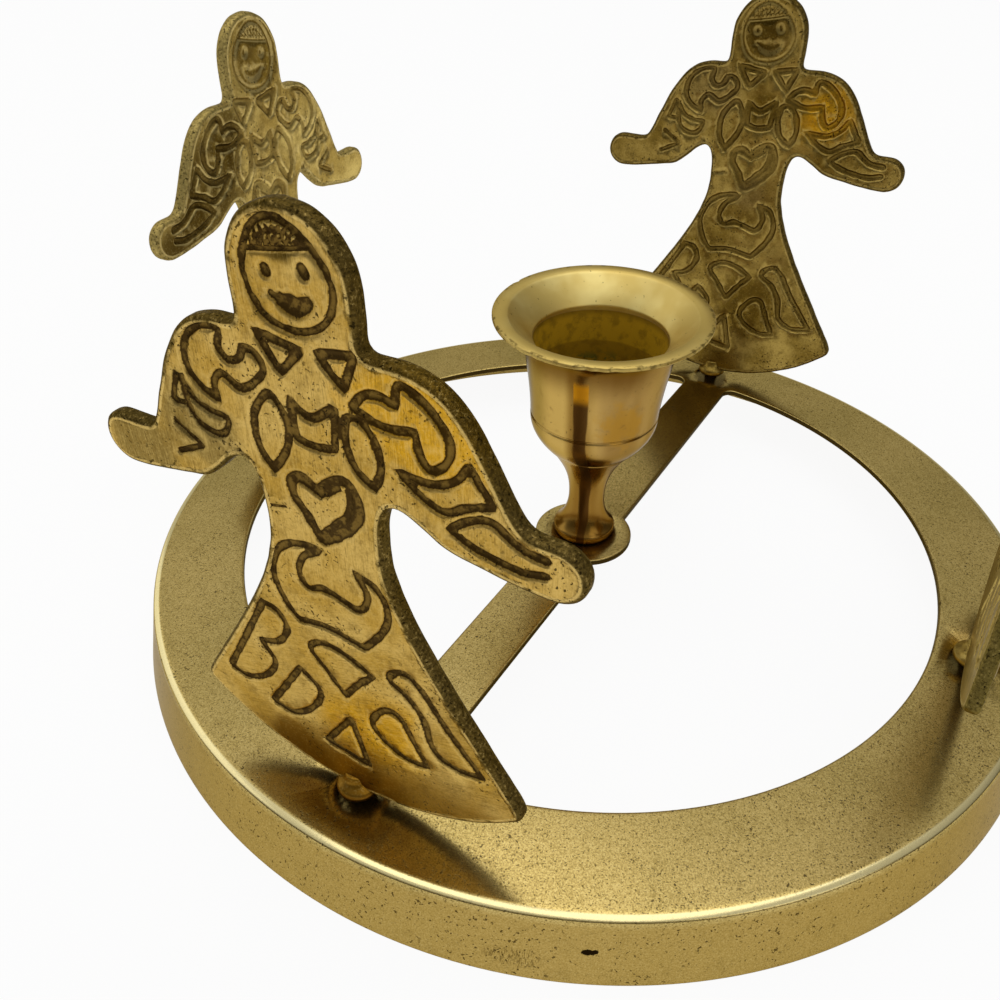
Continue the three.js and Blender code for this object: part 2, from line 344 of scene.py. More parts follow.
class Skin:
    """Corners in millimetres and faces of one piece."""

    def __init__(self):
        self.corners = []
        self.faces = []

    def loop(self, points):
        start = len(self.corners)
        self.corners.extend(tuple(float(c) for c in point) for point in points)
        return list(range(start, len(self.corners)))

    def strips(self, loops):
        """Faces with four corners from each loop to the next."""
        for near, far in zip(loops, loops[1:]):
            for k in range(len(near)):
                after = (k + 1) % len(near)
                self.faces.append((near[k], near[after], far[after], far[k]))

    def close(self, loop):
        """A fan from a loop to one corner at its middle."""
        middle = np.mean([self.corners[k] for k in loop], axis=0)
        tip = self.loop([middle])[0]
        for k in range(len(loop)):
            self.faces.append((loop[k], loop[(k + 1) % len(loop)], tip))

    def fill(self, loops):
        """Flat triangles, seen along Z, between an outer loop and the loops of its holes."""
        order = [k for loop in loops for k in loop]
        flat = [Vector(self.corners[k][:2]) for k in order]
        edges = []
        for loop in loops:
            start = len(edges)
            edges += [(start + k, start + (k + 1) % len(loop)) for k in range(len(loop))]
        spots, _, triangles, sources, _, _ = delaunay_2d_cdt(flat, edges, [], 0, SAME_SPOT, True)
        rims = [np.array([self.corners[k][:2] for k in loop]) for loop in loops]
        for face in triangles:
            middle = np.mean([spots[k] for k in face], axis=0)
            if sum(bool(inside(rim, middle[None])[0]) for rim in rims) == 1:
                self.faces.append(tuple(order[sources[k][0]] for k in face))

    def turned(self, profile, steps):
        """A lathe about Z. The profile is radius and height, and closes where the radius is 0."""
        angles = np.arange(steps) * 2 * math.pi / steps
        loops = []
        for radius, height in profile:
            if radius > 0:
                ring = np.stack([radius * np.cos(angles), radius * np.sin(angles)], axis=1)
                loops.append(self.loop([(x, y, height) for x, y in ring]))
        self.strips(loops)
        for end in (0, -1):
            if profile[end][0] == 0:
                self.close(loops[end])
        return loops

    def piece(self, name, finish):
        """The skin as a Blender object, with its faces turned outwards."""
        mesh = bpy.data.meshes.new(name)
        mesh.from_pydata(np.array(self.corners) * MM, [], self.faces)
        shape = bmesh.new()
        shape.from_mesh(mesh)
        bmesh.ops.recalc_face_normals(shape, faces=shape.faces)
        shape.to_mesh(mesh)
        shape.free()
        mesh.shade_smooth()
        mesh.materials.append(finish)
        made = bpy.data.objects.new(name, mesh)
        scene.collection.objects.link(made)
        return made


print("a skin has", [name for name in vars(Skin) if not name.startswith("_")])

# %% [markdown]
# The ring is one pressed sheet. Its flat top was sanded to a satin grain, and has gone olive with
# handling. Fine dark specks of tarnish lie all over, and dirt has gathered where the angels turn.
# The cut edges of the openings are painted dark as shade, and the pale line along the bend is
# partly rubbed wear and partly a painted highlight. The skirt has one deep chip, painted near black
# as shade in its hollow, and a patch of scratches. All of this is noise at a few sizes, plus
# heights and distances.

# %% Where the ring is worn
RING_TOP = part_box("base_ring")[1].z / MM
LUGS = [np.array(joint["pos_m"]) / MM for joint in frame["joints"]]
SHEET = 1.2
SCRAPED = np.array((26.5, -70.6, 3.2))
CHIP = np.array((34.4, -66.4, 5.4))
LOW = np.array((1, 1, 2.4))

ring_brass, bench = bench_for("ring_brass")
spot = millimetres(bench)
x, y, height = axes(spot)
reach = bench.math("SQRT", x * x + y * y)
outer = fade(reach, 69.0, 70.0)
skirt = (1 - fade(height, RING_TOP - 1.6, RING_TOP - 0.5)) * outer
# The cut edges of the openings are painted dark: painted shade on the sheet's upright edges.
cut_edge_shade = fade(height, RING_TOP - SHEET, RING_TOP - SHEET + 0.2) * (1 - outer)
cut_edge_shade = cut_edge_shade * (1 - fade(height, RING_TOP - 0.25, RING_TOP - 0.06))
# The pale line along the bend is partly rubbed wear and partly a painted highlight.
rubbed_and_highlight = fade(height, RING_TOP - 0.36, RING_TOP - 0.24) * outer
rubbed_and_highlight = rubbed_and_highlight * (1 - fade(height, RING_TOP - 0.06, RING_TOP - 0.01))
broad = cloud(spot, 24, 3, 1.0)
blots = cloud(spot, 2.6, 4, 3.0, 0.65)
grain = cloud(spot, 0.2, 2, 2.0, 0.7)
pores = fade(cloud(spot, 0.24, 1, 7.0), 0.6, 0.66)
specks = fade(cloud(spot, 0.42, 1, 4.0), 0.65, 0.68)
specks = specks * fade(cloud(spot, 7, 2, 5.0) + skirt * 0.1, 0.46, 0.6)
low_spot = stretched(spot, *LOW)
hatch = fade(cloud(stretched(spot, 1, 1, 0.07), 0.14, 1, 8.0), 0.5, 0.58)
hatch = hatch * close_to(low_spot, SCRAPED * LOW, 2.2, 4.4, 2.5 * (blots - 0.5))
# The chip is painted near black: painted shade in its hollow.
shaded_chip = close_to(low_spot, CHIP * LOW, 0.95, 1.15, 1.6 * (cloud(spot, 0.7, 2, 9.0) - 0.5))
ragged = 3.4 * cloud(spot, 1.3, 4, 6.0)
dirt = largest(*[close_to(spot, (lug[0], lug[1], RING_TOP), 3.5, 4.2, ragged) for lug in LUGS])
print("lugs at", [tuple(lug.round(1)) for lug in LUGS])

# %% Finish of the pressed ring
colour = layered(
    blend(fade(broad, 0.34, 0.66), paint(178, 155, 90), paint(192, 167, 100)),
    (skirt * 0.7, paint(170, 140, 70)),
    (fade(blots, 0.5, 0.74) * 0.28, paint(130, 106, 46)),
    (fade(grain, 0.48, 0.64) * (0.42 - 0.2 * skirt), paint(106, 88, 36)),
    (fade(grain, 0.5, 0.36) * (0.3 - 0.12 * skirt), paint(232, 212, 146)),
    (pores * (0.7 - 0.4 * skirt), paint(84, 66, 24)),
    (specks * 0.8, paint(54, 38, 12)),
    (hatch * 0.6, paint(76, 54, 14)),
    (shaded_chip, paint(26, 16, 8)),
    (dirt * 0.6, paint(60, 43, 10)),
    (rubbed_and_highlight * 0.75, paint(238, 224, 168)),
    (cut_edge_shade, paint(58, 44, 16)),
)
roughness = 0.15 + 0.06 * broad + 0.1 * grain + 0.1 * skirt + 0.3 * dirt - 0.06 * rubbed_and_highlight + 0.2 * cut_edge_shade
relief = grain * 0.3 - pores * 0.3 + blots * 0.2 - specks * 0.8 - shaded_chip * 3 - hatch * 0.6
close_metal(bench, colour, roughness, 1 - 0.1 * dirt, relief * (1 - 0.8 * rubbed_and_highlight), 0.02)
print("ring finish of", len(ring_brass.node_tree.nodes), "nodes")

# %% [markdown]
# The ring itself: a flat band with the skirt turned down outside, and two half-round openings
# that leave a bar with a round pad between them. It could be cut with booleans and bevelled, but
# loops give clean rounded edges. The outline of an opening is drawn by a function of how far it
# is set back into the metal, so the same function gives every loop of its rounded edge.

# %% Loops of the ring
RING_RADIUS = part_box("base_ring")[1].x / MM
BEND_INSIDE = 0.2
SKIRT_LEAN = math.radians(12.5)
ROLL_RADIUS, ROLL_END = 2.4, math.radians(27)
CORNER_RADIUS = 0.5
BAND_WIDTH = 16.6
BAR_WIDTH = 9.4
BAR_SHIFT = 1.0
PAD_RADIUS = BAR_WIDTH / 2 + 3.7
PAD_SHIFT = 2.2
CORNER_FILLET = 2.0
CUT_ROUND = 0.35
HOLE_RADIUS = 1.55
RING_STEPS = 288
CUP_AXIS = (BAR_SHIFT, -0.9)


def opening_edge(side, back):
    """One opening, with its edge set back into the metal. Side is 1 on the right, -1 on the left."""
    inner = RING_RADIUS - BAND_WIDTH + back
    pad = PAD_RADIUS - back
    centre = side * BAR_SHIFT
    fillet_x = centre + BAR_WIDTH / 2 + CORNER_FILLET
    fillet_y = math.sqrt((inner - back - CORNER_FILLET) ** 2 - fillet_x ** 2)
    turn_end = math.atan2(fillet_y, fillet_x)
    pad_end = math.acos((BAR_WIDTH / 2 - back) / pad)
    fillet = CORNER_FILLET + back
    edge = np.concatenate([
        arc(fillet_x, -fillet_y, fillet, math.pi, 2 * math.pi - turn_end, 10),
        arc(0, 0, inner, -turn_end, turn_end, 130)[1:-1],
        arc(fillet_x, fillet_y, fillet, turn_end, math.pi, 10),
        arc(centre, -side * PAD_SHIFT, pad, pad_end, -pad_end, 44),
    ])
    return edge * side


def rounded(radius, top, bottom, steps=5):
    """How far back and how high the loops of a punched edge lie, from the top to the bottom."""
    quarter = np.linspace(0, math.pi / 2, steps + 1)
    above = [(radius * (1 - math.sin(a)), top - radius * (1 - math.cos(a))) for a in quarter]
    below = [(back, top + bottom - height) for back, height in above]
    return [(radius + 0.3, top)] + above + below[::-1] + [(radius + 0.3, bottom)]


print("opening of", len(opening_edge(1, 0)), "points")

# %% Profile of the ring
underside = RING_TOP - SHEET
bend_outside = BEND_INSIDE + SHEET
bend_height = RING_TOP - bend_outside
skirt_top = bend_height + bend_outside * math.sin(SKIRT_LEAN)
bend_radius = RING_RADIUS - bend_outside * math.cos(SKIRT_LEAN) - skirt_top * math.tan(SKIRT_LEAN)
thick = SHEET / math.cos(SKIRT_LEAN)
inside_bend = arc(bend_radius, bend_height, BEND_INSIDE, SKIRT_LEAN, math.pi / 2, 4)
gentle = arc(0, -ROLL_RADIUS, ROLL_RADIUS, math.pi / 2, math.pi / 2 - ROLL_END, 8)
tight = ROLL_RADIUS - CORNER_RADIUS
sharp = arc(tight * math.sin(ROLL_END), tight * math.cos(ROLL_END) - ROLL_RADIUS, CORNER_RADIUS,
            math.pi / 2 - ROLL_END, SKIRT_LEAN, 8)
rolled = np.concatenate([gentle, sharp[1:]]) + (0, RING_TOP)
rolled[:, 0] += RING_RADIUS - rolled[-1, 1] * math.tan(SKIRT_LEAN) - rolled[-1, 0]
skirt_foot = [(RING_RADIUS - 0.035, 0.25), (RING_RADIUS - 0.05, 0.08), (RING_RADIUS - 0.2, 0.0)]
skirt_foot += [(RING_RADIUS - thick + 0.2, 0.0), (RING_RADIUS - thick - 0.03, 0.12)]
fall = np.array(skirt_foot[0]) - rolled[-1]
skirt_side = [rolled[-1] + fall * share for share in (0.06, 0.36, 0.64, 0.92)]
profile = [(rolled[0, 0] - 0.5, RING_TOP), *rolled, *skirt_side, *skirt_foot, *inside_bend]
profile.append((bend_radius - 0.6, underside))
print("ring profile of", len(profile), "points")

# %% Press the ring
skin = Skin()
top_loops, under_loops = [], []
loops = skin.turned(profile, RING_STEPS)
top_loops.append(loops[0])
under_loops.append(loops[-1])

for side in (1, -1):
    loops = [skin.loop([(x, y, z) for x, y in opening_edge(side, back)])
             for back, z in rounded(CUT_ROUND, RING_TOP, underside)]
    skin.strips(loops)
    top_loops.append(loops[0])
    under_loops.append(loops[-1])

for x, y in [CUP_AXIS] + [(lug[0], lug[1]) for lug in LUGS]:
    circle = arc(x, y, HOLE_RADIUS, 0, 2 * math.pi, 24)[:-1]
    loops = [skin.loop([(px, py, z) for px, py in circle]) for z in (RING_TOP, underside)]
    skin.strips(loops)
    top_loops.append(loops[0])
    under_loops.append(loops[1])

skin.fill(top_loops)
skin.fill(under_loops)
pressed_ring = skin.piece("pressed_ring", ring_brass)
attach(pressed_ring, "base")
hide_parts("base_ring")
print("pressed ring of", len(skin.faces), "faces")

# %% [markdown]
# The cup was turned on a lathe and polished, so it is the brightest piece. Heat and smoke have
# left a brown run down its front, the bore is dark with a little green, and a few nicks show on
# the lip. Turning leaves very fine rings, which here are noise stretched round the axis. Height
# and distance from the axis tell the bowl, the flared mouth and the bore apart.

# %% Where the cup is stained
CUP_RUN = math.radians(-77)
AMBER = (8.5, -7.8, 27.0)

cup_brass, bench = bench_for("cup_brass")
spot = millimetres(bench)
x, y, above = axes(spot)
ahead = x * math.cos(CUP_RUN) + y * math.sin(CUP_RUN)
across = y * math.cos(CUP_RUN) - x * math.sin(CUP_RUN)
reach = bench.math("SQRT", x * x + y * y)
flare = fade(above - 0.52 * reach, 31.2, 31.4)
bore = fade(above, 22.2, 22.6) * (1 - fade(reach - 0.08 * above, 7.6, 7.75)) * (1 - flare)
rings = cloud(stretched(spot, 0.02, 0.02, 1.0), 0.16, 2, 1.0)
broad = cloud(spot, 9, 3, 2.0)
blots = cloud(spot, 1.7, 4, 3.0, 0.65)
panels = cloud(stretched(spot, 1, 1, 0.2), 6, 2, 4.0)
specks = fade(cloud(spot, 0.6, 2, 6.0), 0.68, 0.73)
rim_wear = fade(reach, 16.1, 16.5) * fade(cloud(spot, 1.1, 3, 9.0), 0.5, 0.62)
wander = across + 1.2 * (cloud(stretched(spot, 1, 1, 0.3), 3.2, 2, 5.0) - 0.5)
run = (1 - fade(bench.math("ABSOLUTE", wander) - 0.015 * above, 0.55, 0.85)) * fade(ahead, 1.0, 2.0)
run = run * (1 - fade(above, 34.0, 35.5))
print("the run faces", round(math.degrees(CUP_RUN)), "degrees")

# %% Finish of the turned cup
run_colour = blend(fade(above, 30.5, 32.6), paint(74, 42, 8), paint(222, 152, 12))
bowl_tone_and_painted_light = layered(
    blend(fade(panels, 0.4, 0.6), paint(188, 154, 84), paint(146, 112, 50)),
    # Bands lighter and darker across the front of the bowl are painted reflections.
    (fade(across, -1.5, -3.0) * 0.7, paint(210, 176, 96)),
    (fade(across, -5.0, -7.5) * 0.75, paint(152, 126, 62)),
    (fade(across, -8.5, -10.0) * 0.8, paint(106, 96, 68)),
    (fade(across, 1.5, 3.5) * 0.5, paint(148, 116, 66)),
    ((1 - fade(above, 4.0, 19.0)) * 0.75, paint(124, 86, 24)),
    # Darker under the lip at the front: painted shade under the lip.
    (fade(above, 31.0, 37.0) * fade(ahead, 4.0, 10.5) * 0.85, paint(96, 62, 12)),
    (close_to(spot, AMBER, 2.0, 5.0, 9 * (blots - 0.5)) * 0.6, paint(170, 124, 32)),
    (fade(blots, 0.55, 0.75) * 0.35, paint(112, 78, 34)),
    (run * 0.85, run_colour),
)
flare_colour = layered(
    blend(fade(broad, 0.38, 0.62), paint(224, 204, 132), paint(206, 180, 104)),
    (fade(reach, 14.4, 14.7) * 0.7, paint(190, 164, 90)),
)
green = fade(cloud(spot, 1.3, 3, 7.0), 0.47, 0.57) * (1 - fade(above, 27.5, 30.5))
tide = 1 - fade(above + 0.6 * broad, 31.6, 32.0)
bore_tone_and_shade = layered(
    blend(tide, paint(186, 148, 28), paint(152, 118, 20)),
    # Darker near the top of the bore: painted shadow under the mouth.
    (fade(above, 35.4, 36.8) * 0.6, paint(90, 64, 8)),
    (fade(blots, 0.45, 0.65) * 0.5, paint(104, 80, 12)),
    (green * 0.85, paint(40, 78, 34)),
)
colour = layered(
    bowl_tone_and_painted_light,
    (flare, flare_colour),
    (bore, bore_tone_and_shade),
    (specks * 0.6, paint(64, 44, 18)),
    (rim_wear * 0.7, paint(88, 70, 30)),
)
roughness = 0.14 + 0.08 * broad + 0.14 * run + 0.3 * bore + 0.22 * flare + 0.06 * rings
relief = rings * 0.3 + blots * 0.3 - specks * 0.6 - rim_wear * 0.8
close_metal(bench, colour, roughness, 1 - 0.1 * run - 0.8 * bore, relief, 0.012)
print("cup finish of", len(cup_brass.node_tree.nodes), "nodes")

# %% [markdown]
# The cup's profile, from the foot up the outside, over the lip and down into the bore. It keeps
# close to the CAD model's, with more points on each curve. Two turned lines are cut as real
# grooves: points are added close round each line, and the radius is drawn in there.

# %% Measures of the cup
FOOT_RADIUS, STEM_RADIUS = 5.3, 3.05
FOOT_EDGE = 1.3
BOWL_FOOT_RADIUS = 6.55
BORE_RADIUS, BORE_FLOOR_RADIUS = 10.9, 9.2
MOUTH_RADIUS, MOUTH = 10.6, 37.3
LIP_RADIUS = 16.8
CUP_WALL = 1.15
CUP_TAPPED = 5.2
STEM_HEIGHT, BOWL_FOOT, BORE_FLOOR, SHOULDER, LIP_TOP = 7.2, 17.0, 22.8, 36.8, 41.2
TURNED_LINES = {17.5: 0.22, 24.2: 0.16}
LINE_HALF = 0.22
CUP_STEPS = 192
print("cup", LIP_TOP, "mm high and", 2 * LIP_RADIUS, "mm wide")

# %% Turn the cup
stem = (STEM_RADIUS, STEM_HEIGHT)
bowl_start = (BOWL_FOOT_RADIUS, BOWL_FOOT)
bowl_end = (BORE_FLOOR_RADIUS + CUP_WALL, BORE_FLOOR + 0.8)
neck = (BORE_RADIUS + CUP_WALL, SHOULDER)
lip_edge = (LIP_RADIUS - 0.05, LIP_TOP - 0.62)
side_wall = np.concatenate([
    bend((FOOT_RADIUS - 0.05, FOOT_EDGE + 0.05), (4.6, FOOT_EDGE + 0.45), (STEM_RADIUS, 3.8), stem, 16),
    bend(stem, (STEM_RADIUS, 12.0), (4.9, 14.4), bowl_start, 18),
    bend(bowl_start, (9.0, 19.4), (bowl_end[0], 21.6), bowl_end, 16),
    bend(bowl_end, (bowl_end[0], 27.2), (neck[0] - 0.8, 32.8), neck, 16),
    bend(neck, (neck[0] + 0.8, 38.8), (lip_edge[0] - 2.5, lip_edge[1] - 0.9), lip_edge, 16),
])
heights = list(side_wall[:, 1])
for middle in TURNED_LINES:
    heights += list(middle + np.linspace(-2, 2, 13) * LINE_HALF)
heights = np.array(sorted(heights))
radii = np.interp(heights, side_wall[:, 1], side_wall[:, 0])
for middle, depth in TURNED_LINES.items():
    radii -= depth * np.exp(-((heights - middle) / LINE_HALF) ** 4)

foot = [(0, CUP_TAPPED), (HOLE_RADIUS, CUP_TAPPED), (HOLE_RADIUS, 0), (FOOT_RADIUS - 0.3, 0)]
foot += [(FOOT_RADIUS - 0.08, 0.06), (FOOT_RADIUS, 0.2), (FOOT_RADIUS, FOOT_EDGE - 0.25)]
foot.append((FOOT_RADIUS - 0.02, FOOT_EDGE - 0.08))
lip = [(LIP_RADIUS, LIP_TOP - 0.5), (LIP_RADIUS, LIP_TOP - 0.16), (LIP_RADIUS - 0.16, LIP_TOP)]
lip += [(LIP_RADIUS - 1.2, LIP_TOP), (LIP_RADIUS - 2.1, LIP_TOP - 0.02)]
mouth = bend((LIP_RADIUS - 2.25, LIP_TOP - 0.1), (13.5, 40.2), (11.9, 38.9), (MOUTH_RADIUS, MOUTH), 14)
bottom = [(MOUTH_RADIUS - 0.08, MOUTH - 0.1), (MOUTH_RADIUS - 0.11, MOUTH - 0.3), (10.1, 33.0),
          (9.7, 28.0), (BORE_FLOOR_RADIUS + 0.1, BORE_FLOOR + 0.5)]
bottom += [(9.0, BORE_FLOOR + 0.12), (8.4, BORE_FLOOR), (4.0, BORE_FLOOR), (0, BORE_FLOOR)]
profile = foot + list(zip(radii, heights)) + lip + list(mouth) + bottom
skin = Skin()
skin.turned(profile, CUP_STEPS)
print("cup profile of", len(profile), "points")

# %% [markdown]
# A turned piece that has been dropped shows it on the lip. A few corners of the rim, facing the
# front, are pushed in by a fraction of a millimetre. The bar has bent a little too, so the cup
# stands a hair askew and its mouth tips forwards.

# %% Nick and tip the lip
TIP_TOWARDS = math.radians(-66)
TIP = 0.036
ASKEW = (-0.45, -0.25)
NICKS = {-72.0: 0.32, -66.5: 0.22, -58.0: 0.26, -101.0: 0.2, 40.0: 0.24, 171.0: 0.3}
NICK_HALF = math.radians(1.6)

nicked = np.array(skin.corners)
spread = np.hypot(nicked[:, 0], nicked[:, 1])
facing = np.arctan2(nicked[:, 1], nicked[:, 0])
on_rim = (spread > LIP_RADIUS - 0.4) & (nicked[:, 2] > LIP_TOP - 0.7)
for place, depth in NICKS.items():
    away = (facing - math.radians(place) + math.pi) % (2 * math.pi) - math.pi
    push = on_rim * depth * np.exp(-(away / NICK_HALF) ** 2)
    nicked[:, :2] *= (1 - push / np.maximum(spread, TINY))[:, None]
nicked[:, :2] += np.array(ASKEW) * (1 - nicked[:, 2:] / LIP_TOP)
forward = nicked[:, 0] * math.cos(TIP_TOWARDS) + nicked[:, 1] * math.sin(TIP_TOWARDS)
nicked[:, 2] -= TIP * forward * np.clip((nicked[:, 2] - BOWL_FOOT) / (LIP_TOP - BOWL_FOOT), 0, 1)
skin.corners = [tuple(corner) for corner in nicked]
turned_cup = skin.piece("turned_cup", cup_brass)
turned_cup.location = Vector((*CUP_AXIS, RING_TOP)) * MM
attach(turned_cup, "base")
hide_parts("candle_cup")
print("turned cup of", len(skin.faces), "faces")

# %% [markdown]
# Each angel is a flat casting with a rounded edge. Its outline repeats the CAD model's values:
# a round head, two arms that differ a little, a waist and a robe that spreads to a curved hem.
# It is drawn in the figure's own millimetres, up from the lowest point of the hem, then smoothed
# and given the slight wobble of a sand casting.

# %% Measures of an angel
PLATE = 2.0
EDGE_ROUND = 0.6
HEM_GAP = 1.2
FIGURE_SHIFT = 0.9
HEM_HALF, HEM_RISE = 23.5, 9.6
WAIST_HALF, WAIST_HEIGHT = 7.2, 41.5
ARMPIT_HALF, ARMPIT_HEIGHT = 8.7, 48.3
SHOULDER_HEIGHT = 63.0
HEAD_RADIUS, HEAD_MIDDLE = 6.8, 68.4
SHOULDER_PULL, ELBOW_PULL = 64.6, 57.6
WAIST_PULLS = (47.3, 43.5)
HAND_RADIUS = 3.2
HAND_TURN = (1.95, 4.4 - 2 * math.pi)
RIGHT_ARM = {"shoulder": 17.5, "elbow": 17.5, "wrist": (22.6, 50.0), "palm": (25.6, 46.9),
             "sleeve": (15.5, 45.0)}
LEFT_ARM = {"shoulder": 15.5, "elbow": 17.0, "wrist": (21.4, 48.0), "palm": (26.2, 45.0),
            "sleeve": (15.5, 43.4)}
print("figure", round(HEAD_MIDDLE + HEAD_RADIUS, 1), "mm high")


# %% Edges of the arms and the robe
def arm_edge(arm):
    """The edge of an arm from the neck, round the hand, to the armpit, on the right side."""
    neck = (HEAD_RADIUS, SHOULDER_HEIGHT)
    palm_x, palm_y = arm["palm"]
    sleeve_x, sleeve_y = arm["sleeve"]
    hand = arc(palm_x, palm_y, HAND_RADIUS, *HAND_TURN, 16)
    armpit = (ARMPIT_HALF, ARMPIT_HEIGHT)
    return np.concatenate([
        [neck],
        bend(neck, (arm["shoulder"], SHOULDER_PULL), (arm["elbow"], ELBOW_PULL), arm["wrist"], 24),
        hand,
        bend(hand[-1], (palm_x - 4, hand[-1][1]), (sleeve_x + 3, sleeve_y - 0.3), arm["sleeve"]),
        bend(arm["sleeve"], (sleeve_x - 2, sleeve_y + 0.3), (ARMPIT_HALF + 2, ARMPIT_HEIGHT),
             armpit),
    ])


def robe_edge():
    """The edge of the robe from the armpit to the corner of the hem, on the right side."""
    waist = (WAIST_HALF, WAIST_HEIGHT)
    fall = WAIST_HEIGHT - HEM_RISE
    hem_pull = ((HEM_HALF + WAIST_HALF) / 2, HEM_RISE + fall * 0.42)
    return np.concatenate([
        bend((ARMPIT_HALF, ARMPIT_HEIGHT), *[(WAIST_HALF, pull) for pull in WAIST_PULLS], waist, 8),
        bend(waist, (WAIST_HALF, WAIST_HEIGHT - fall * 0.25), hem_pull, (HEM_HALF, HEM_RISE), 26),
    ])


print("arm edges of", [len(arm_edge(arm)) for arm in (RIGHT_ARM, LEFT_ARM)], "points")

# %% Outline of an angel
OUTLINE_STEP, OUTLINE_PASSES = 0.5, 6
WOBBLE, WOBBLE_SCALE = 0.09, 0.45
WOBBLE_SEED = 7


def evenly(line, step, closed):
    """The same line with its points an even step apart."""
    if closed:
        line = np.concatenate([line, line[:1]])
    along = np.concatenate([[0], np.cumsum(np.linalg.norm(np.diff(line, axis=0), axis=1))])
    count = max(2, round(along[-1] / step))
    places = np.linspace(0, along[-1], count + 1)
    spaced = np.stack([np.interp(places, along, line[:, k]) for k in (0, 1)], axis=1)
    return spaced[:-1] if closed else spaced


def softened(line, passes):
    """A closed line with its corners rounded off."""
    for _ in range(passes):
        line = line * 0.5 + (np.roll(line, 1, axis=0) + np.roll(line, -1, axis=0)) * 0.25
    return line


mirror = np.array([-1.0, 1.0])
sweep = (HEM_HALF ** 2 + HEM_RISE ** 2) / (2 * HEM_RISE)
hem_end = math.asin(HEM_HALF / sweep)
right_side = np.concatenate([arm_edge(RIGHT_ARM), robe_edge()])
left_side = np.concatenate([arm_edge(LEFT_ARM), robe_edge()]) * mirror
figure = np.concatenate([
    arc(0, HEAD_MIDDLE, HEAD_RADIUS, 0, math.pi, 30),
    left_side,
    arc(0, sweep, sweep, -math.pi / 2 - hem_end, -math.pi / 2 + hem_end, 40)[1:-1],
    right_side[::-1],
])
figure = softened(evenly(figure, OUTLINE_STEP, True), OUTLINE_PASSES)
noise.seed_set(WOBBLE_SEED)
wobble = [noise.noise_vector(Vector((x, y, 3.0)) * WOBBLE_SCALE) for x, y in figure]
figure = figure + WOBBLE * np.array(wobble)[:, :2]
print("outline of", len(figure), "points,", np.ptp(figure, axis=0).round(1), "mm")

# %% [markdown]
# The ornament is the plain folk kind: leaves, a heart, half moons and triangles in bold lines,
# and a smiling face. On the casting each line is a groove, so it is made as one. The lines are
# set out in the figure's millimetres, with few points and smooth curves between them.
# A point that is given twice is a sharp corner.


# %% Lines of the head and the bodice
def line(*points, width=0.9, closed=True, depth=1.0, taper=0.0):
    return {"points": points, "width": width, "closed": closed, "depth": depth, "taper": taper}


def stroke(*points, **looks):
    """A line whose ends don't meet."""
    return line(*points, closed=False, **looks)


FACE = [
    line((-4.7, 68.9), (-4.3, 66.6), (-3.0, 64.8), (-0.8, 64.0), (1.8, 64.3), (3.8, 65.7), (4.7, 67.9),
         (4.3, 70.0), (3.2, 71.6), (1.6, 73.0), (-0.6, 73.8), (-2.7, 73.0), (-4.1, 71.0), width=0.72),
    stroke((-3.8, 70.6), (-0.5, 71.1), (2.9, 71.8), width=0.4),
    stroke((-2.2, 69.1), (-2.13, 68.9), width=1.0),
    stroke((1.82, 69.85), (2.02, 69.45), width=1.05),
    stroke((-1.9, 67.0), (-0.9, 66.55), (0.2, 66.35), (1.2, 66.45), (1.9, 66.85), width=1.95, taper=0.65),
]
FRINGE = [stroke((x, 70.9 + 0.18 * (x + 3.8)), (x + lean, 73.0 - 0.14 * (x + 0.6) ** 2), width=0.3, depth=0.5)
          for lean in (0.95, -0.35) for x in np.arange(-3.1, 2.3, 0.72)]
BODICE = [
    line((-4.5, 62.9), (-4.5, 62.9), (0.3, 62.1), (0.3, 62.1), (-2.2, 59.4), (-2.2, 59.4)),
    line((2.2, 62.4), (2.2, 62.4), (6.2, 63.1), (6.2, 63.1), (4.7, 59.5), (4.7, 59.5)),
    line((-4.5, 56.5), (-6.4, 54.0), (-6.6, 50.6), (-5.2, 47.7), (-5.2, 47.7), (-3.1, 50.8),
         (-2.4, 53.6), (-3.3, 56.1)),
    line((-1.7, 56.7), (-1.7, 56.7), (0.6, 55.4), (3.4, 57.4), (3.4, 57.4), (2.9, 52.7), (2.9, 52.7),
         (0.6, 52.3), (-1.6, 52.7), (-1.6, 52.7)),
    line((4.6, 56.5), (4.2, 54.3), (5.0, 51.5), (7.1, 49.7), (7.1, 49.7), (8.0, 52.6), (7.2, 55.6),
         (5.9, 56.8)),
    line((-3.1, 47.2), (-1.8, 48.0), (0.1, 47.0), (0.1, 47.0), (2.3, 48.9), (3.9, 49.2), (4.9, 47.0),
         (4.3, 44.5), (1.7, 42.0), (-0.2, 40.7), (-0.2, 40.7), (-1.7, 43.4), (-3.1, 45.5), width=1.25),
    stroke((3.8, 48.3), (3.9, 46.7), (3.3, 45.0), (1.8, 43.4), (0.1, 41.8), width=1.0, taper=0.4),
    stroke((0.4, 46.6), (1.5, 47.5), (2.7, 48.3), width=1.0, taper=0.4),
]
print("head of", len(FACE + FRINGE), "lines")

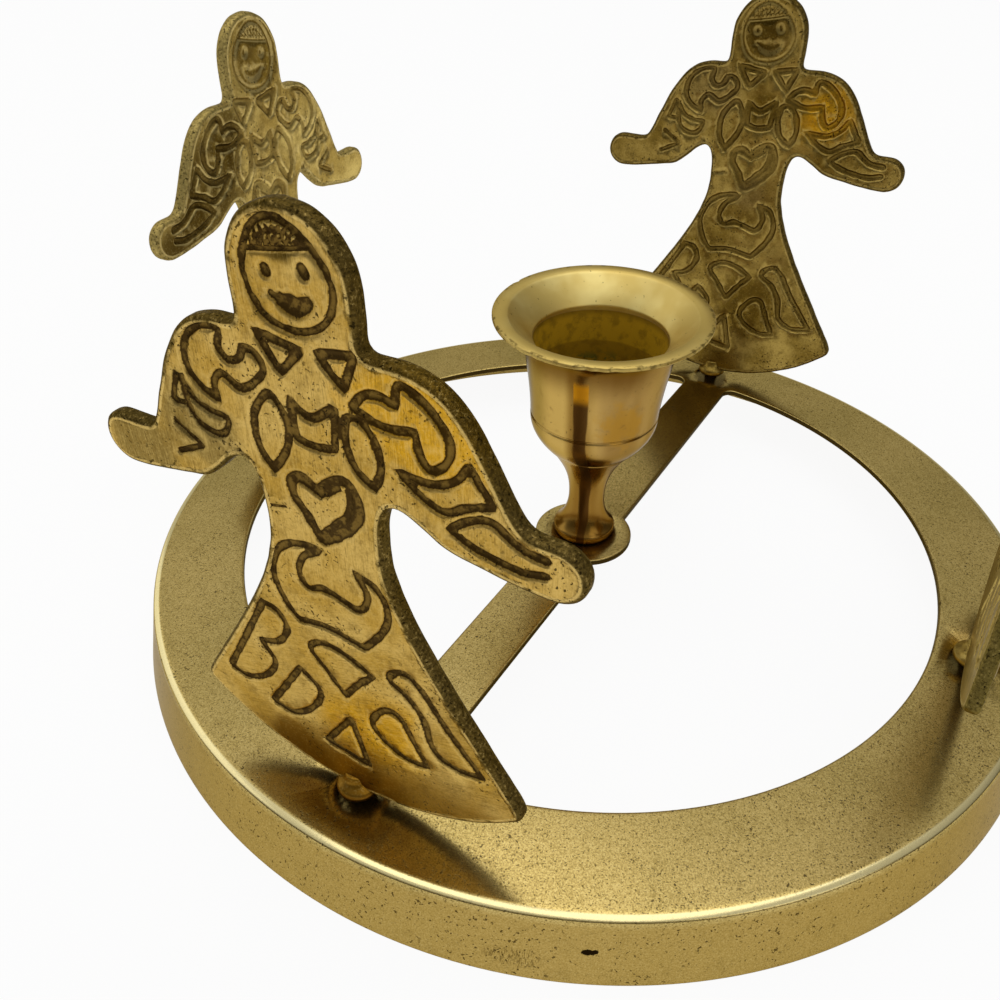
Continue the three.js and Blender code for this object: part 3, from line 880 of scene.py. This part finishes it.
# %% Lines of the sleeves and the robe
SLEEVES = [
    line((-9.2, 62.0), (-11.7, 61.7), (-13.7, 59.8), (-14.2, 57.2), (-13.0, 55.3), (-10.8, 54.2),
         (-10.8, 54.2), (-11.0, 56.0), (-9.7, 57.3), (-7.5, 56.3), (-5.4, 57.7), (-4.3, 59.2),
         (-5.1, 60.6), (-6.4, 60.9), (-6.4, 60.9), (-7.2, 59.5), (-8.5, 59.0), (-9.5, 60.2), width=0.85),
    line((-15.4, 55.4), (-15.4, 55.4), (-14.2, 53.4), (-12.2, 52.5), (-9.9, 52.3), (-9.9, 52.3),
         (-10.8, 50.4), (-12.3, 49.9), (-14.0, 50.5), (-15.1, 52.2), width=0.75),
    stroke((-16.0, 55.6), (-17.3, 52.4), (-17.3, 52.4), (-15.8, 52.4), width=0.65),
    stroke((-17.6, 49.8), (-14.4, 47.7), (-14.4, 47.7), (-18.1, 45.9), width=0.65),
    line((5.4, 58.0), (5.4, 58.0), (6.8, 59.5), (8.5, 59.9), (10.0, 59.4), (10.0, 59.4), (10.4, 61.4),
         (11.7, 61.3), (13.6, 60.0), (15.3, 57.6), (15.0, 55.2), (13.4, 53.9), (12.2, 55.3),
         (11.9, 57.4), (11.9, 57.4), (10.2, 57.0), (8.0, 57.0), width=0.9),
    line((9.9, 52.6), (9.9, 52.6), (13.2, 52.4), (15.7, 53.5), (17.2, 55.6), (17.2, 55.6), (19.5, 52.1),
         (19.5, 52.1), (16.9, 51.1), (14.6, 49.8), (12.0, 50.9), width=0.85),
    stroke((24.7, 48.3), (22.2, 48.7), (19.5, 50.4), (17.2, 49.8), (15.0, 48.1), (15.0, 48.1),
           (18.0, 46.8), (22.3, 46.1), (24.7, 46.6), width=0.85),
]
ROBE = [
    line((-1.0, 39.2), (-4.5, 38.7), (-7.1, 36.4), (-8.0, 33.0), (-6.9, 29.4), (-5.2, 27.4),
         (-5.2, 27.4), (-1.2, 28.0), (3.6, 27.2), (3.6, 27.2), (6.1, 30.6), (7.1, 33.7), (6.0, 36.8),
         (3.4, 37.9), (3.4, 37.9), (4.7, 35.3), (3.6, 32.8), (1.2, 33.3), (-0.9, 33.8), (-3.2, 33.1),
         (-4.2, 35.0), (-3.2, 37.4)),
    line((-10.6, 27.7), (-10.6, 27.7), (-14.6, 20.4), (-18.6, 13.2), (-18.6, 13.2), (-15.8, 12.6),
         (-12.5, 14.5), (-10.6, 17.9), (-12.3, 20.7), (-12.3, 20.7), (-9.4, 21.8), (-7.6, 24.7),
         (-8.5, 27.1)),
    line((-6.6, 18.9), (-6.6, 18.9), (-9.5, 14.3), (-12.3, 10.0), (-12.3, 10.0), (-8.8, 9.6),
         (-5.4, 12.7), (-4.1, 16.2)),
    line((-4.5, 23.3), (-2.2, 25.0), (1.0, 24.6), (4.2, 22.9), (4.2, 22.9), (1.9, 20.4), (-0.2, 17.4),
         (-0.2, 17.4), (-2.5, 20.6), width=0.85),
    line((0.1, 13.4), (0.1, 13.4), (-4.2, 7.1), (-4.2, 7.1), (2.0, 6.0), (2.0, 6.0)),
    line((3.3, 14.8), (5.3, 17.9), (7.4, 17.9), (9.2, 14.2), (10.8, 11.2), (10.8, 11.2), (8.0, 10.9),
         (4.8, 12.3)),
    line((6.4, 23.8), (8.3, 25.7), (10.4, 24.5), (13.5, 19.8), (18.1, 13.9), (18.1, 13.9),
         (14.4, 13.4), (11.6, 15.1), (10.7, 19.0), (9.0, 21.8)),
]
DENTS = [
    stroke((-7.3, 44.3), (-6.5, 44.2), width=0.3, depth=0.5),
    stroke((-6.4, 43.1), (-4.3, 43.6), width=0.3, depth=0.5),
    stroke((-7.5, 42.4), (-6.8, 42.3), width=0.25, depth=0.4),
    stroke((-10.9, 47.2), (-9.4, 48.2), width=1.1, taper=0.5),
]
ORNAMENT = FACE + FRINGE + BODICE + SLEEVES + ROBE + DENTS
print("ornament of", len(ORNAMENT), "lines")


# %% Smooth lines through the points
def run_between(points, closed):
    """A smooth curve through each of these points."""
    if closed:
        ends = [points[-1], *points, points[0], points[1]]
    else:
        ends = [2 * points[0] - points[1], *points, 2 * points[-1] - points[-2]]
    made = []
    for before, start, end, after in zip(ends, ends[1:], ends[2:], ends[3:]):
        pull_start = start + (end - before) / 6
        pull_end = end - (after - start) / 6
        made.append(bend(start, pull_start, pull_end, end, 8))
    return np.concatenate(made if closed else [[points[0]]] + made)


def drawn(points, closed):
    """The whole line, with a sharp corner at each point that is given twice."""
    points = list(points)
    doubled = [k for k in range(len(points)) if points[k] == points[(k + 1) % len(points)]]
    if closed and not doubled:
        return run_between([np.array(p) for p in points], True)
    if closed:
        start = (doubled[0] + 1) % len(points)
        points = points[start:] + points[:start]
    runs, run = [], [points[0]]
    for point in points[1:]:
        if point == run[-1]:
            runs.append(run)
            run = [point]
        else:
            run.append(point)
    runs.append(run)
    made = [run_between([np.array(p) for p in run], False) for run in runs if len(run) > 1]
    return np.concatenate([made[0]] + [run[1:] for run in made[1:]])


GROOVE_STEP = 0.42
GROOVE_UNEVEN, UNEVEN_SCALE = 0.3, 0.8
grooves = []
for k, mark in enumerate(ORNAMENT):
    path = evenly(drawn(mark["points"], mark["closed"]), GROOVE_STEP, mark["closed"])
    along = np.linspace(0, 1, len(path))
    half = mark["width"] / 2 * (1 - mark["taper"] * np.abs(2 * along - 1) ** 2)
    uneven = [noise.noise(Vector((x * UNEVEN_SCALE, y * UNEVEN_SCALE, k))) for x, y in path]
    half = half * (1 + GROOVE_UNEVEN * np.array(uneven))
    grooves.append({"path": path, "half": half, "closed": mark["closed"], "depth": mark["depth"]})
print("grooves of", round(sum(len(g["path"]) for g in grooves) * GROOVE_STEP), "mm")

# %% [markdown]
# A plain grid fine enough for these grooves would need a million faces. So points are laid only
# where the shape changes: rows along both sides of each groove, loops along the rounded edge, and
# a coarse net in between. One Delaunay triangulation then serves both faces of the casting.


# %% Gaps and directions along a line
def distance_to(path, closed, spots):
    """The distance from each spot to a line of points, and the nearest point's number."""
    far = np.roll(path, -1, axis=0) if closed else path[1:]
    near = path if closed else path[:-1]
    span = far - near
    offset = spots[:, None] - near
    share = np.clip((offset * span).sum(-1) / np.maximum((span ** 2).sum(-1), TINY), 0, 1)
    gap = np.linalg.norm(offset - share[..., None] * span, axis=-1)
    nearest = gap.argmin(axis=1)
    return gap[np.arange(len(spots)), nearest], nearest


def sideways(path, closed):
    """A unit step to the left at each point of a line."""
    if closed:
        ahead = np.roll(path, -1, axis=0) - np.roll(path, 1, axis=0)
    else:
        ahead = np.gradient(path, axis=0)
    ahead /= np.maximum(np.linalg.norm(ahead, axis=1), TINY)[:, None]
    return np.stack([-ahead[:, 1], ahead[:, 0]], axis=1)


EDGE_INSETS = (0.0, 0.08, 0.22, 0.42, 0.62, 0.8)
inward = sideways(figure, True)
edge_loops = [softened(figure + inward * inset, round(inset * 6)) for inset in EDGE_INSETS]
rim = edge_loops[-1]
print("rim of", len(rim), "points")

# %% Spots that keep their distance
BATCH = 1500


def edge_gap(spots):
    """How far each spot lies from the outline, a batch at a time to spare memory."""
    parts = np.array_split(spots, max(1, len(spots) // BATCH))
    return np.concatenate([distance_to(figure, True, part)[0] for part in parts])


def well_inside(spots, margin):
    """The spots that lie inside the outline by more than a margin."""
    spots = spots[inside(rim, spots)]
    return spots[edge_gap(spots) > margin]


def thinned(spots, others, apart):
    """The spots that keep apart from the others and from each other, first come first kept."""
    cells = {}

    def crowded(spot):
        cell = (int(spot[0] // apart), int(spot[1] // apart))
        around = [(cell[0] + i, cell[1] + j) for i in (-1, 0, 1) for j in (-1, 0, 1)]
        close = [other for near in around for other in cells.get(near, ())]
        return cell, any(math.dist(spot, other) < apart for other in close)

    for other in others:
        cells.setdefault(crowded(other)[0], []).append(other)
    kept = []
    for spot in spots:
        cell, full = crowded(spot)
        if not full:
            cells.setdefault(cell, []).append(spot)
            kept.append(spot)
    return np.array(kept)


print("the waist lies", edge_gap(np.array([(0, WAIST_HEIGHT)])).round(1), "mm inside the outline")

# %% Points where the shape changes
ROWS = (0.0, 0.5, -0.5, 0.95, -0.95, 1.35, -1.35, 1.8, -1.8)
NET_STEP, NET_ROW = 1.25, 0.87
KEEP_APART = 0.17
CARVED_MARGIN, NET_MARGIN = 0.95, 1.3


def points_of_face(boldness):
    """Rows along the grooves, round the ends of open ones, then a coarse net in between."""
    rows = []
    for row in ROWS:
        for groove in grooves:
            half = boldness * groove["half"] * row
            rows.append(groove["path"] + sideways(groove["path"], groove["closed"]) * half[:, None])
            if not groove["closed"] and row > 0:
                for end in (0, -1):
                    rows.append(arc(*groove["path"][end], abs(half[end]), 0, 2 * math.pi, 12)[1:])
    carved = thinned(well_inside(np.concatenate(rows), CARVED_MARGIN), rim, KEEP_APART)
    low, high = figure.min(axis=0), figure.max(axis=0)
    levels = np.arange(low[1], high[1], NET_STEP * NET_ROW)
    net = [(x + (k % 2) * NET_STEP / 2, y) for k, y in enumerate(levels)
           for x in np.arange(low[0], high[0], NET_STEP)]
    net = thinned(well_inside(np.array(net), NET_MARGIN), carved, NET_STEP * 0.5)
    return np.concatenate([rim, carved, net])


print("rows beside a groove", len(ROWS) - 1)

# %% [markdown]
# The triangulation keeps the innermost loop of the edge as a fixed rim, and drops what lies
# outside it. Then each point gets its height: the rounding near the edge, less the groove, plus a
# low lip beside the groove, where the metal was pushed up. The front angel was sanded flat after
# casting, which took the lips off. The others kept bolder, rounder grooves, but their faces came
# out faint.

# %% Triangles and heights of a face
CHIN = 63.5
GROOVE_REACH = 3
GROOVE_WALL = 0.75
LIP_AT, LIP_HALF = 1.75, 0.4


def carved_face(boldness, depth, lip_rise, head_share):
    """One face of a casting. Patina is 1 in the middle of a groove, a half at its edge, then fades."""
    flat = points_of_face(boldness)
    count = len(rim)
    rim_edges = [(k, (k + 1) % count) for k in range(count)]
    made = delaunay_2d_cdt([Vector(p) for p in flat], rim_edges, [], 0, SAME_SPOT, True)
    spots, _, faces, sources, _, _ = made
    spots = np.array([tuple(p) for p in spots])
    middles = np.array([spots[list(face)].mean(axis=0) for face in faces])
    triangles = [tuple(face) for face, keep in zip(faces, inside(rim, middles)) if keep]
    rim_at = {source: k for k, found in enumerate(sources) for source in found if source < count}
    carve, lip, patina = np.zeros((3, len(spots)))
    for groove in grooves:
        low = groove["path"].min(axis=0) - GROOVE_REACH
        high = groove["path"].max(axis=0) + GROOVE_REACH
        close = np.where(((spots > low) & (spots < high)).all(axis=1))[0]
        gap, nearest = distance_to(groove["path"], groove["closed"], spots[close])
        share = gap / (boldness * groove["half"][nearest])
        strength = head_share if groove["path"][:, 1].mean() > CHIN else 1.0
        carved = strength * groove["depth"] * np.exp(-GROOVE_WALL * share ** 4)
        carve[close] = np.maximum(carve[close], carved)
        raised = strength * np.exp(-((share - LIP_AT) / LIP_HALF) ** 2)
        lip[close] = np.maximum(lip[close], raised)
        patina[close] = np.maximum(patina[close], strength * np.clip(1 - share / 2, 0, 1))
    gap = edge_gap(spots)
    into = EDGE_ROUND - np.minimum(gap, EDGE_ROUND)
    height = PLATE / 2 - EDGE_ROUND + np.sqrt(EDGE_ROUND ** 2 - into ** 2)
    height += lip_rise * lip * (1 - carve) - depth * carve
    return {"spots": spots, "triangles": triangles, "rim": [rim_at[k] for k in range(count)],
            "height": height, "patina": patina, "gap": gap}


SANDED = carved_face(1.0, 0.45, 0.03, 1.0)
AS_CAST = carved_face(1.05, 0.45, 0.18, 0.5)
edge_height = [PLATE / 2 - EDGE_ROUND + math.sqrt(EDGE_ROUND ** 2 - max(EDGE_ROUND - i, 0) ** 2)
               for i in EDGE_INSETS]
print("triangles on a face", len(SANDED["triangles"]), "and", len(AS_CAST["triangles"]))

# %% [markdown]
# Cast brass that has been sanded on a belt: fine scratches run along the figure and slant across
# its robe, dark patina stays in the grooves, blackest along their walls, and the rounded edge,
# which the belt missed, is dull and pitted, with one thin pale line where it meets the face, partly
# wear and partly a painted highlight. The lips beside the grooves are paler, partly rubbed and
# partly a painted highlight. Where hands have kept the metal clean it is golden, and low on the
# front robe honey-brown patches are a painted reflection of the shaded ring. Two values stored on
# the corners of the mesh, how deep in a groove and how near the edge a point lies, tell the finish
# where. The four castings differ in how much tarnish they carry, the back one and patches on the
# left one are darkened further with a painted reflection of the dim inside of the ring, and only
# the front one was sanded well.

# %% Finish of a cast angel
SLANT = math.radians(-72)
BRUSH = (1.0, 0.4, 0.06)
GOLD = paint(206, 154, 26)
# Honey-brown for low on the front robe: a painted reflection of the shaded ring.
PAINTED_RING_REFLECTION = paint(124, 84, 6)
ASH = paint(134, 112, 60)
UMBER = paint(106, 82, 22)
SHADE = paint(76, 56, 10)
SOOT = paint(34, 26, 9)


def cast_brass(name, seed, tones, groove_share, brushing, patches):
    """A casting, sanded where brushing is 1. Each patch is x, height, radius and colour."""
    material, bench = bench_for(name)
    spot = millimetres(bench)
    groove, edge = (bench.node("ShaderNodeAttribute", {"attribute_name": value}, output="Fac")
                    for value in ("groove", "edge"))
    height = axes(spot)[2]
    broad = cloud(spot, 8, 3, seed)
    blots = cloud(spot, 1.6, 4, seed + 1, 0.68)
    pits = cloud(spot, 0.3, 3, seed + 2, 0.65)
    crust = cloud(spot, 0.38, 3, seed + 9, 0.7)
    combed = cloud(stretched(spot, 1.0, 0.4, 0.05), 0.2, 2, seed + 4)
    upright = cloud(stretched(spot, *BRUSH), 0.11, 2, seed + 3)
    turned = bench.node("ShaderNodeMapping", None, {"Vector": spot, "Rotation": (0, SLANT, 0)})
    slanted = cloud(stretched(turned, *BRUSH), 0.11, 2, seed + 3)
    on_robe = 1 - fade(height + 16 * (broad - 0.5), 30.0, 40.0)
    brushed = upright + (slanted - upright) * on_robe
    sanded = brushing * fade(height + 6 * (broad - 0.5), 5.0, 10.0)
    scratch = fade(combed, 0.68, 0.71) * sanded
    worn = fade(edge + (blots - 0.5) * 0.6, 0.55, 0.8)
    # The thin pale line where the edge meets the face is partly wear and partly a painted highlight.
    arris_wear_and_highlight = fade(edge, 0.6, 0.68) * (1 - fade(edge, 0.74, 0.84))
    arris_wear_and_highlight = arris_wear_and_highlight * fade(cloud(spot, 2.4, 3, seed + 8), 0.36, 0.5)

    dark = groove + (blots - 0.5) * 0.12 + (pits - 0.5) * 0.2
    stain = fade(dark, 0.43, 0.51)
    soil = fade(cloud(spot, 1.1, 4, seed + 6, 0.65), 0.44, 0.58) * fade(dark, 0.56, 0.74)
    # The pale lips beside the grooves are partly rubbed metal and partly a painted highlight.
    lip_highlights = fade(groove, 0.06, 0.2) * (1 - fade(groove, 0.32, 0.44)) * fade(blots, 0.3, 0.5)
    dusty = fade(cloud(spot, 5, 2, seed + 7) + worn * 0.2, 0.42, 0.6)
    specks = fade(cloud(spot, 0.38, 1, seed + 10), 0.63, 0.67) * dusty

    flat = stretched(spot, 1, 0, 1)
    patches_and_reflections = []
    for x, z, radius, tone in patches:
        ragged = 1.4 * radius * (broad - 0.5)
        patches_and_reflections.append((close_to(flat, (x, 0, z), radius * 0.5, radius * 1.1, ragged) * 0.88, tone))
    colour = layered(
        blend(fade(broad, 0.36, 0.64), tones["metal"], tones["shade"]),
        *patches_and_reflections,
        (fade(blots, 0.46, 0.7) * 0.55, tones["dull"]),
        (fade(pits, 0.5, 0.64) * 0.3, tones["dull"]),
        (fade(pits, 0.48, 0.36) * 0.22, tones["lip"]),
        (fade(brushed, 0.52, 0.68) * 0.3 * sanded, tones["groove"]),
        (fade(brushed, 0.48, 0.34) * 0.22 * sanded, tones["lip"]),
        (scratch * 0.5, tones["groove"]),
        (worn * 0.85, tones["edge"]),
        (worn * fade(crust, 0.5, 0.62) * 0.55, SOOT),
        (worn * fade(crust, 0.45, 0.34) * 0.3, tones["lip"]),
        (arris_wear_and_highlight * 0.85, tones["lip"]),
        (lip_highlights * (0.6 - 0.3 * brushing), tones["lip"]),
        (stain * groove_share, blend(soil * 0.8, tones["groove"], tones["dull"])),
        (specks * 0.85, SOOT),
    )
    roughness = 0.27 + 0.14 * broad + 0.08 * worn + 0.2 * stain * groove_share
    relief = (brushed * 0.3 - scratch * 0.3) * sanded + blots * 0.5 - specks * 0.8
    relief = relief + (crust * 3 + blots) * worn
    close_metal(bench, colour, roughness, 1 - 0.12 * stain * groove_share, relief, 0.06)
    return material


print("on the robe the brush slants by", round(math.degrees(SLANT)), "degrees")

# %% Four cast finishes
CAST_FINISHES = {
    # The two honey-brown patches low on the front robe are a painted reflection of the shaded ring.
    "front": cast_brass("front_cast_brass", 1.0, {
        "metal": paint(202, 168, 90), "shade": paint(184, 146, 62), "dull": paint(132, 104, 46),
        "edge": paint(62, 50, 20), "groove": paint(54, 35, 9), "lip": paint(224, 192, 114),
    }, 0.94, 1.0, [(13.5, 59.5, 8.5, GOLD), (4.0, 14.0, 8.0, GOLD), (2.0, 3.5, 8.0, PAINTED_RING_REFLECTION),
                   (-8.0, 5.0, 5.5, PAINTED_RING_REFLECTION), (-22.0, 47.0, 6.0, ASH), (-14.0, 52.0, 6.0, ASH),
                   (0.2, 73.3, 2.6, UMBER)]),
    "right": cast_brass("right_cast_brass", 21.0, {
        "metal": paint(176, 152, 82), "shade": paint(140, 116, 54), "dull": paint(108, 88, 40),
        "edge": paint(112, 98, 48), "groove": paint(60, 44, 14), "lip": paint(196, 172, 104),
    }, 0.6, 0.5, [(-4.0, 30.0, 8.0, GOLD)]),
    # The back casting's darker tones are partly tarnish and partly a painted reflection of the dim inside of
    # the ring.
    "back": cast_brass("back_cast_brass", 41.0, {
        "metal": paint(168, 142, 72), "shade": paint(122, 98, 38), "dull": paint(92, 72, 26),
        "edge": paint(84, 68, 28), "groove": paint(70, 53, 16), "lip": paint(184, 158, 88),
    }, 0.36, 0.1, [(13.5, 57.5, 6.0, GOLD), (2.0, 57.0, 4.0, UMBER), (6.0, 18.0, 8.0, UMBER),
                  (2.0, 41.0, 4.0, ASH), (-8.0, 60.0, 6.0, ASH), (0.0, 69.5, 5.5, SHADE)]),
    # The dark patches on the left casting's arm and head are partly tarnish and partly a painted reflection
    # of the dim inside of the ring.
    "left": cast_brass("left_cast_brass", 61.0, {
        "metal": paint(214, 188, 110), "shade": paint(176, 148, 76), "dull": paint(128, 104, 48),
        "edge": paint(170, 150, 88), "groove": paint(66, 49, 14), "lip": paint(226, 202, 130),
    }, 0.36, 0.15, [(16.0, 54.0, 9.0, SHADE), (10.0, 60.0, 5.0, SHADE), (0.0, 70.0, 8.0, UMBER),
                   (21.0, 49.0, 6.0, SHADE), (26.0, 46.5, 4.5, SHADE)]),
}
print("cast finishes", list(CAST_FINISHES))

# %% [markdown]
# Now the castings: the same triangles on both faces, the loops of the rounded edge between them,
# and a low round lug under the hem, with a small boss above and a tapped hole below, turned like
# the cup. Each gets its own slight unevenness and is placed on its hinge, at the heading that it
# was left at.

# %% Profile of a lug
LUG_RADIUS, LUG_FOOT, LUG_WALL = 2.8, 0.3, 1.0
BOSS_RADIUS, BOSS_TOP = 1.55, 3.3
TAPPED_RADIUS, TAPPED = 1.3, 3.0

tapped = [(0, TAPPED), (TAPPED_RADIUS, TAPPED), (TAPPED_RADIUS, LUG_FOOT)]
lug_wall = [(LUG_RADIUS - 0.15, LUG_FOOT), (LUG_RADIUS, LUG_FOOT + 0.15), (LUG_RADIUS, LUG_WALL)]
boss = (BOSS_RADIUS, BOSS_TOP - 0.4)
shoulder = bend(lug_wall[-1], (LUG_RADIUS, LUG_WALL + 0.8), (BOSS_RADIUS + 0.3, LUG_WALL + 0.7), boss, 12)
crown = bend(boss, (BOSS_RADIUS, BOSS_TOP - 0.1), (BOSS_RADIUS - 0.3, BOSS_TOP), (0.05, BOSS_TOP), 6)
lug_profile = [*tapped, *lug_wall, *shoulder, *crown, (0, BOSS_TOP)]
print("lug profile of", len(lug_profile), "points")

# %% A whole casting
UNEVEN = 0.035
EDGE_REACH = 2.2
LUG_STEPS = 48
LUG_EDGE = 0.4
LUG_PATINA, PATINA_FALL = 0.52, 3


def surface_noise(spots, seed, size):
    return np.array([noise.noise(Vector((x / size, y / size, seed))) for x, y in spots])


def placed(spots, heights):
    """Flat figure points and their height off the middle plane, as corners about the lug."""
    x = spots[:, 0] + FIGURE_SHIFT
    return np.stack([x, heights, spots[:, 1] + HEM_GAP], axis=1)


def cast_angel(side, seed, face):
    """A whole casting, with how deep in a groove and how near the edge each corner lies."""
    skin = Skin()
    values, rims = [], []
    for sign in (-1, 1):
        rough = UNEVEN * surface_noise(face["spots"], seed + sign, 2.2)
        rough += UNEVEN * surface_noise(face["spots"], seed + 5 + sign, 6.0)
        made = skin.loop(placed(face["spots"], sign * (face["height"] + rough)))
        values += list(zip(face["patina"], np.clip(1 - face["gap"] / EDGE_REACH, 0, 1)))
        skin.faces += [tuple(made[k] for k in corners) for corners in face["triangles"]]
        rims.append([made[k] for k in face["rim"]])
    loops = [rims[0]]
    insets = range(len(EDGE_INSETS) - 1)
    for sign, order in ((-1, reversed(insets)), (1, insets)):
        for k in order:
            heights = np.full(len(rim), sign * edge_height[k])
            loops.append(skin.loop(placed(edge_loops[k], heights)))
            values += [(0.0, 1 - EDGE_INSETS[k] / EDGE_REACH)] * len(rim)
    skin.strips([*loops, rims[1]])
    skin.turned(lug_profile, LUG_STEPS)
    for corner in skin.corners[len(values):]:
        values.append((float(np.clip(LUG_PATINA - corner[2] / PATINA_FALL, 0, 1)), LUG_EDGE))
    casting = skin.piece(f"{side}_angel_casting", CAST_FINISHES[side])
    for name, column in zip(("groove", "edge"), np.array(values).T):
        stored = casting.data.attributes.new(name, "FLOAT", "POINT")
        stored.data.foreach_set("value", column.astype(np.float32))
    return casting


print("unevenness of a casting", UNEVEN, "mm")

# %% Cast the angels
HEADINGS = {"front": 2.1, "right": 90.0, "back": 3.3, "left": -84.4}

for number, joint in enumerate(frame["joints"]):
    side = joint["child"].removesuffix("_figure")
    casting = cast_angel(side, 10.0 * number, SANDED if side == "front" else AS_CAST)
    heading = Matrix.Rotation(math.radians(HEADINGS[side]), 4, "Z")
    casting.matrix_world = Matrix.Translation(joint["pos_m"]) @ heading
    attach(casting, joint["child"])
    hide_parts(f"{side}_angel")
    low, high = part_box(f"{side}_angel")
    bpy.context.view_layer.update()
    seen = np.array([casting.matrix_world @ v.co for v in casting.data.vertices])
    off = np.abs(np.concatenate([seen.min(0) - np.array(low), seen.max(0) - np.array(high)])).max()
    print(side, "angel of", len(casting.data.polygons), "faces, off the solid by", round(off / MM, 2), "mm")

# %% [markdown]
# The screws and washers under the sheet keep their solids. They get a dull brass of their own,
# with the grime of a part that nobody polishes.

# %% Finish of the screws and washers
screw_brass, bench = bench_for("screw_brass")
spot = millimetres(bench)
grime = cloud(spot, 1.4, 4, 2.0, 0.65)
fine = cloud(spot, 0.3, 3, 4.0)
colour = blend(fade(grime, 0.4, 0.66), paint(156, 132, 80), paint(92, 72, 38))
colour = blend(fade(fine, 0.6, 0.7) * 0.5, colour, paint(56, 42, 22))
close_metal(bench, colour, 0.42 + 0.25 * grime, 1 - 0.3 * fade(grime, 0.5, 0.7), fine, 0.03)
small_parts = [node for name, node in frame["nodes"].items() if name.endswith(("_screw", "_washer"))]
for node in small_parts:
    node.data.materials.clear()
    node.data.materials.append(screw_brass)
print("small parts", len(small_parts))
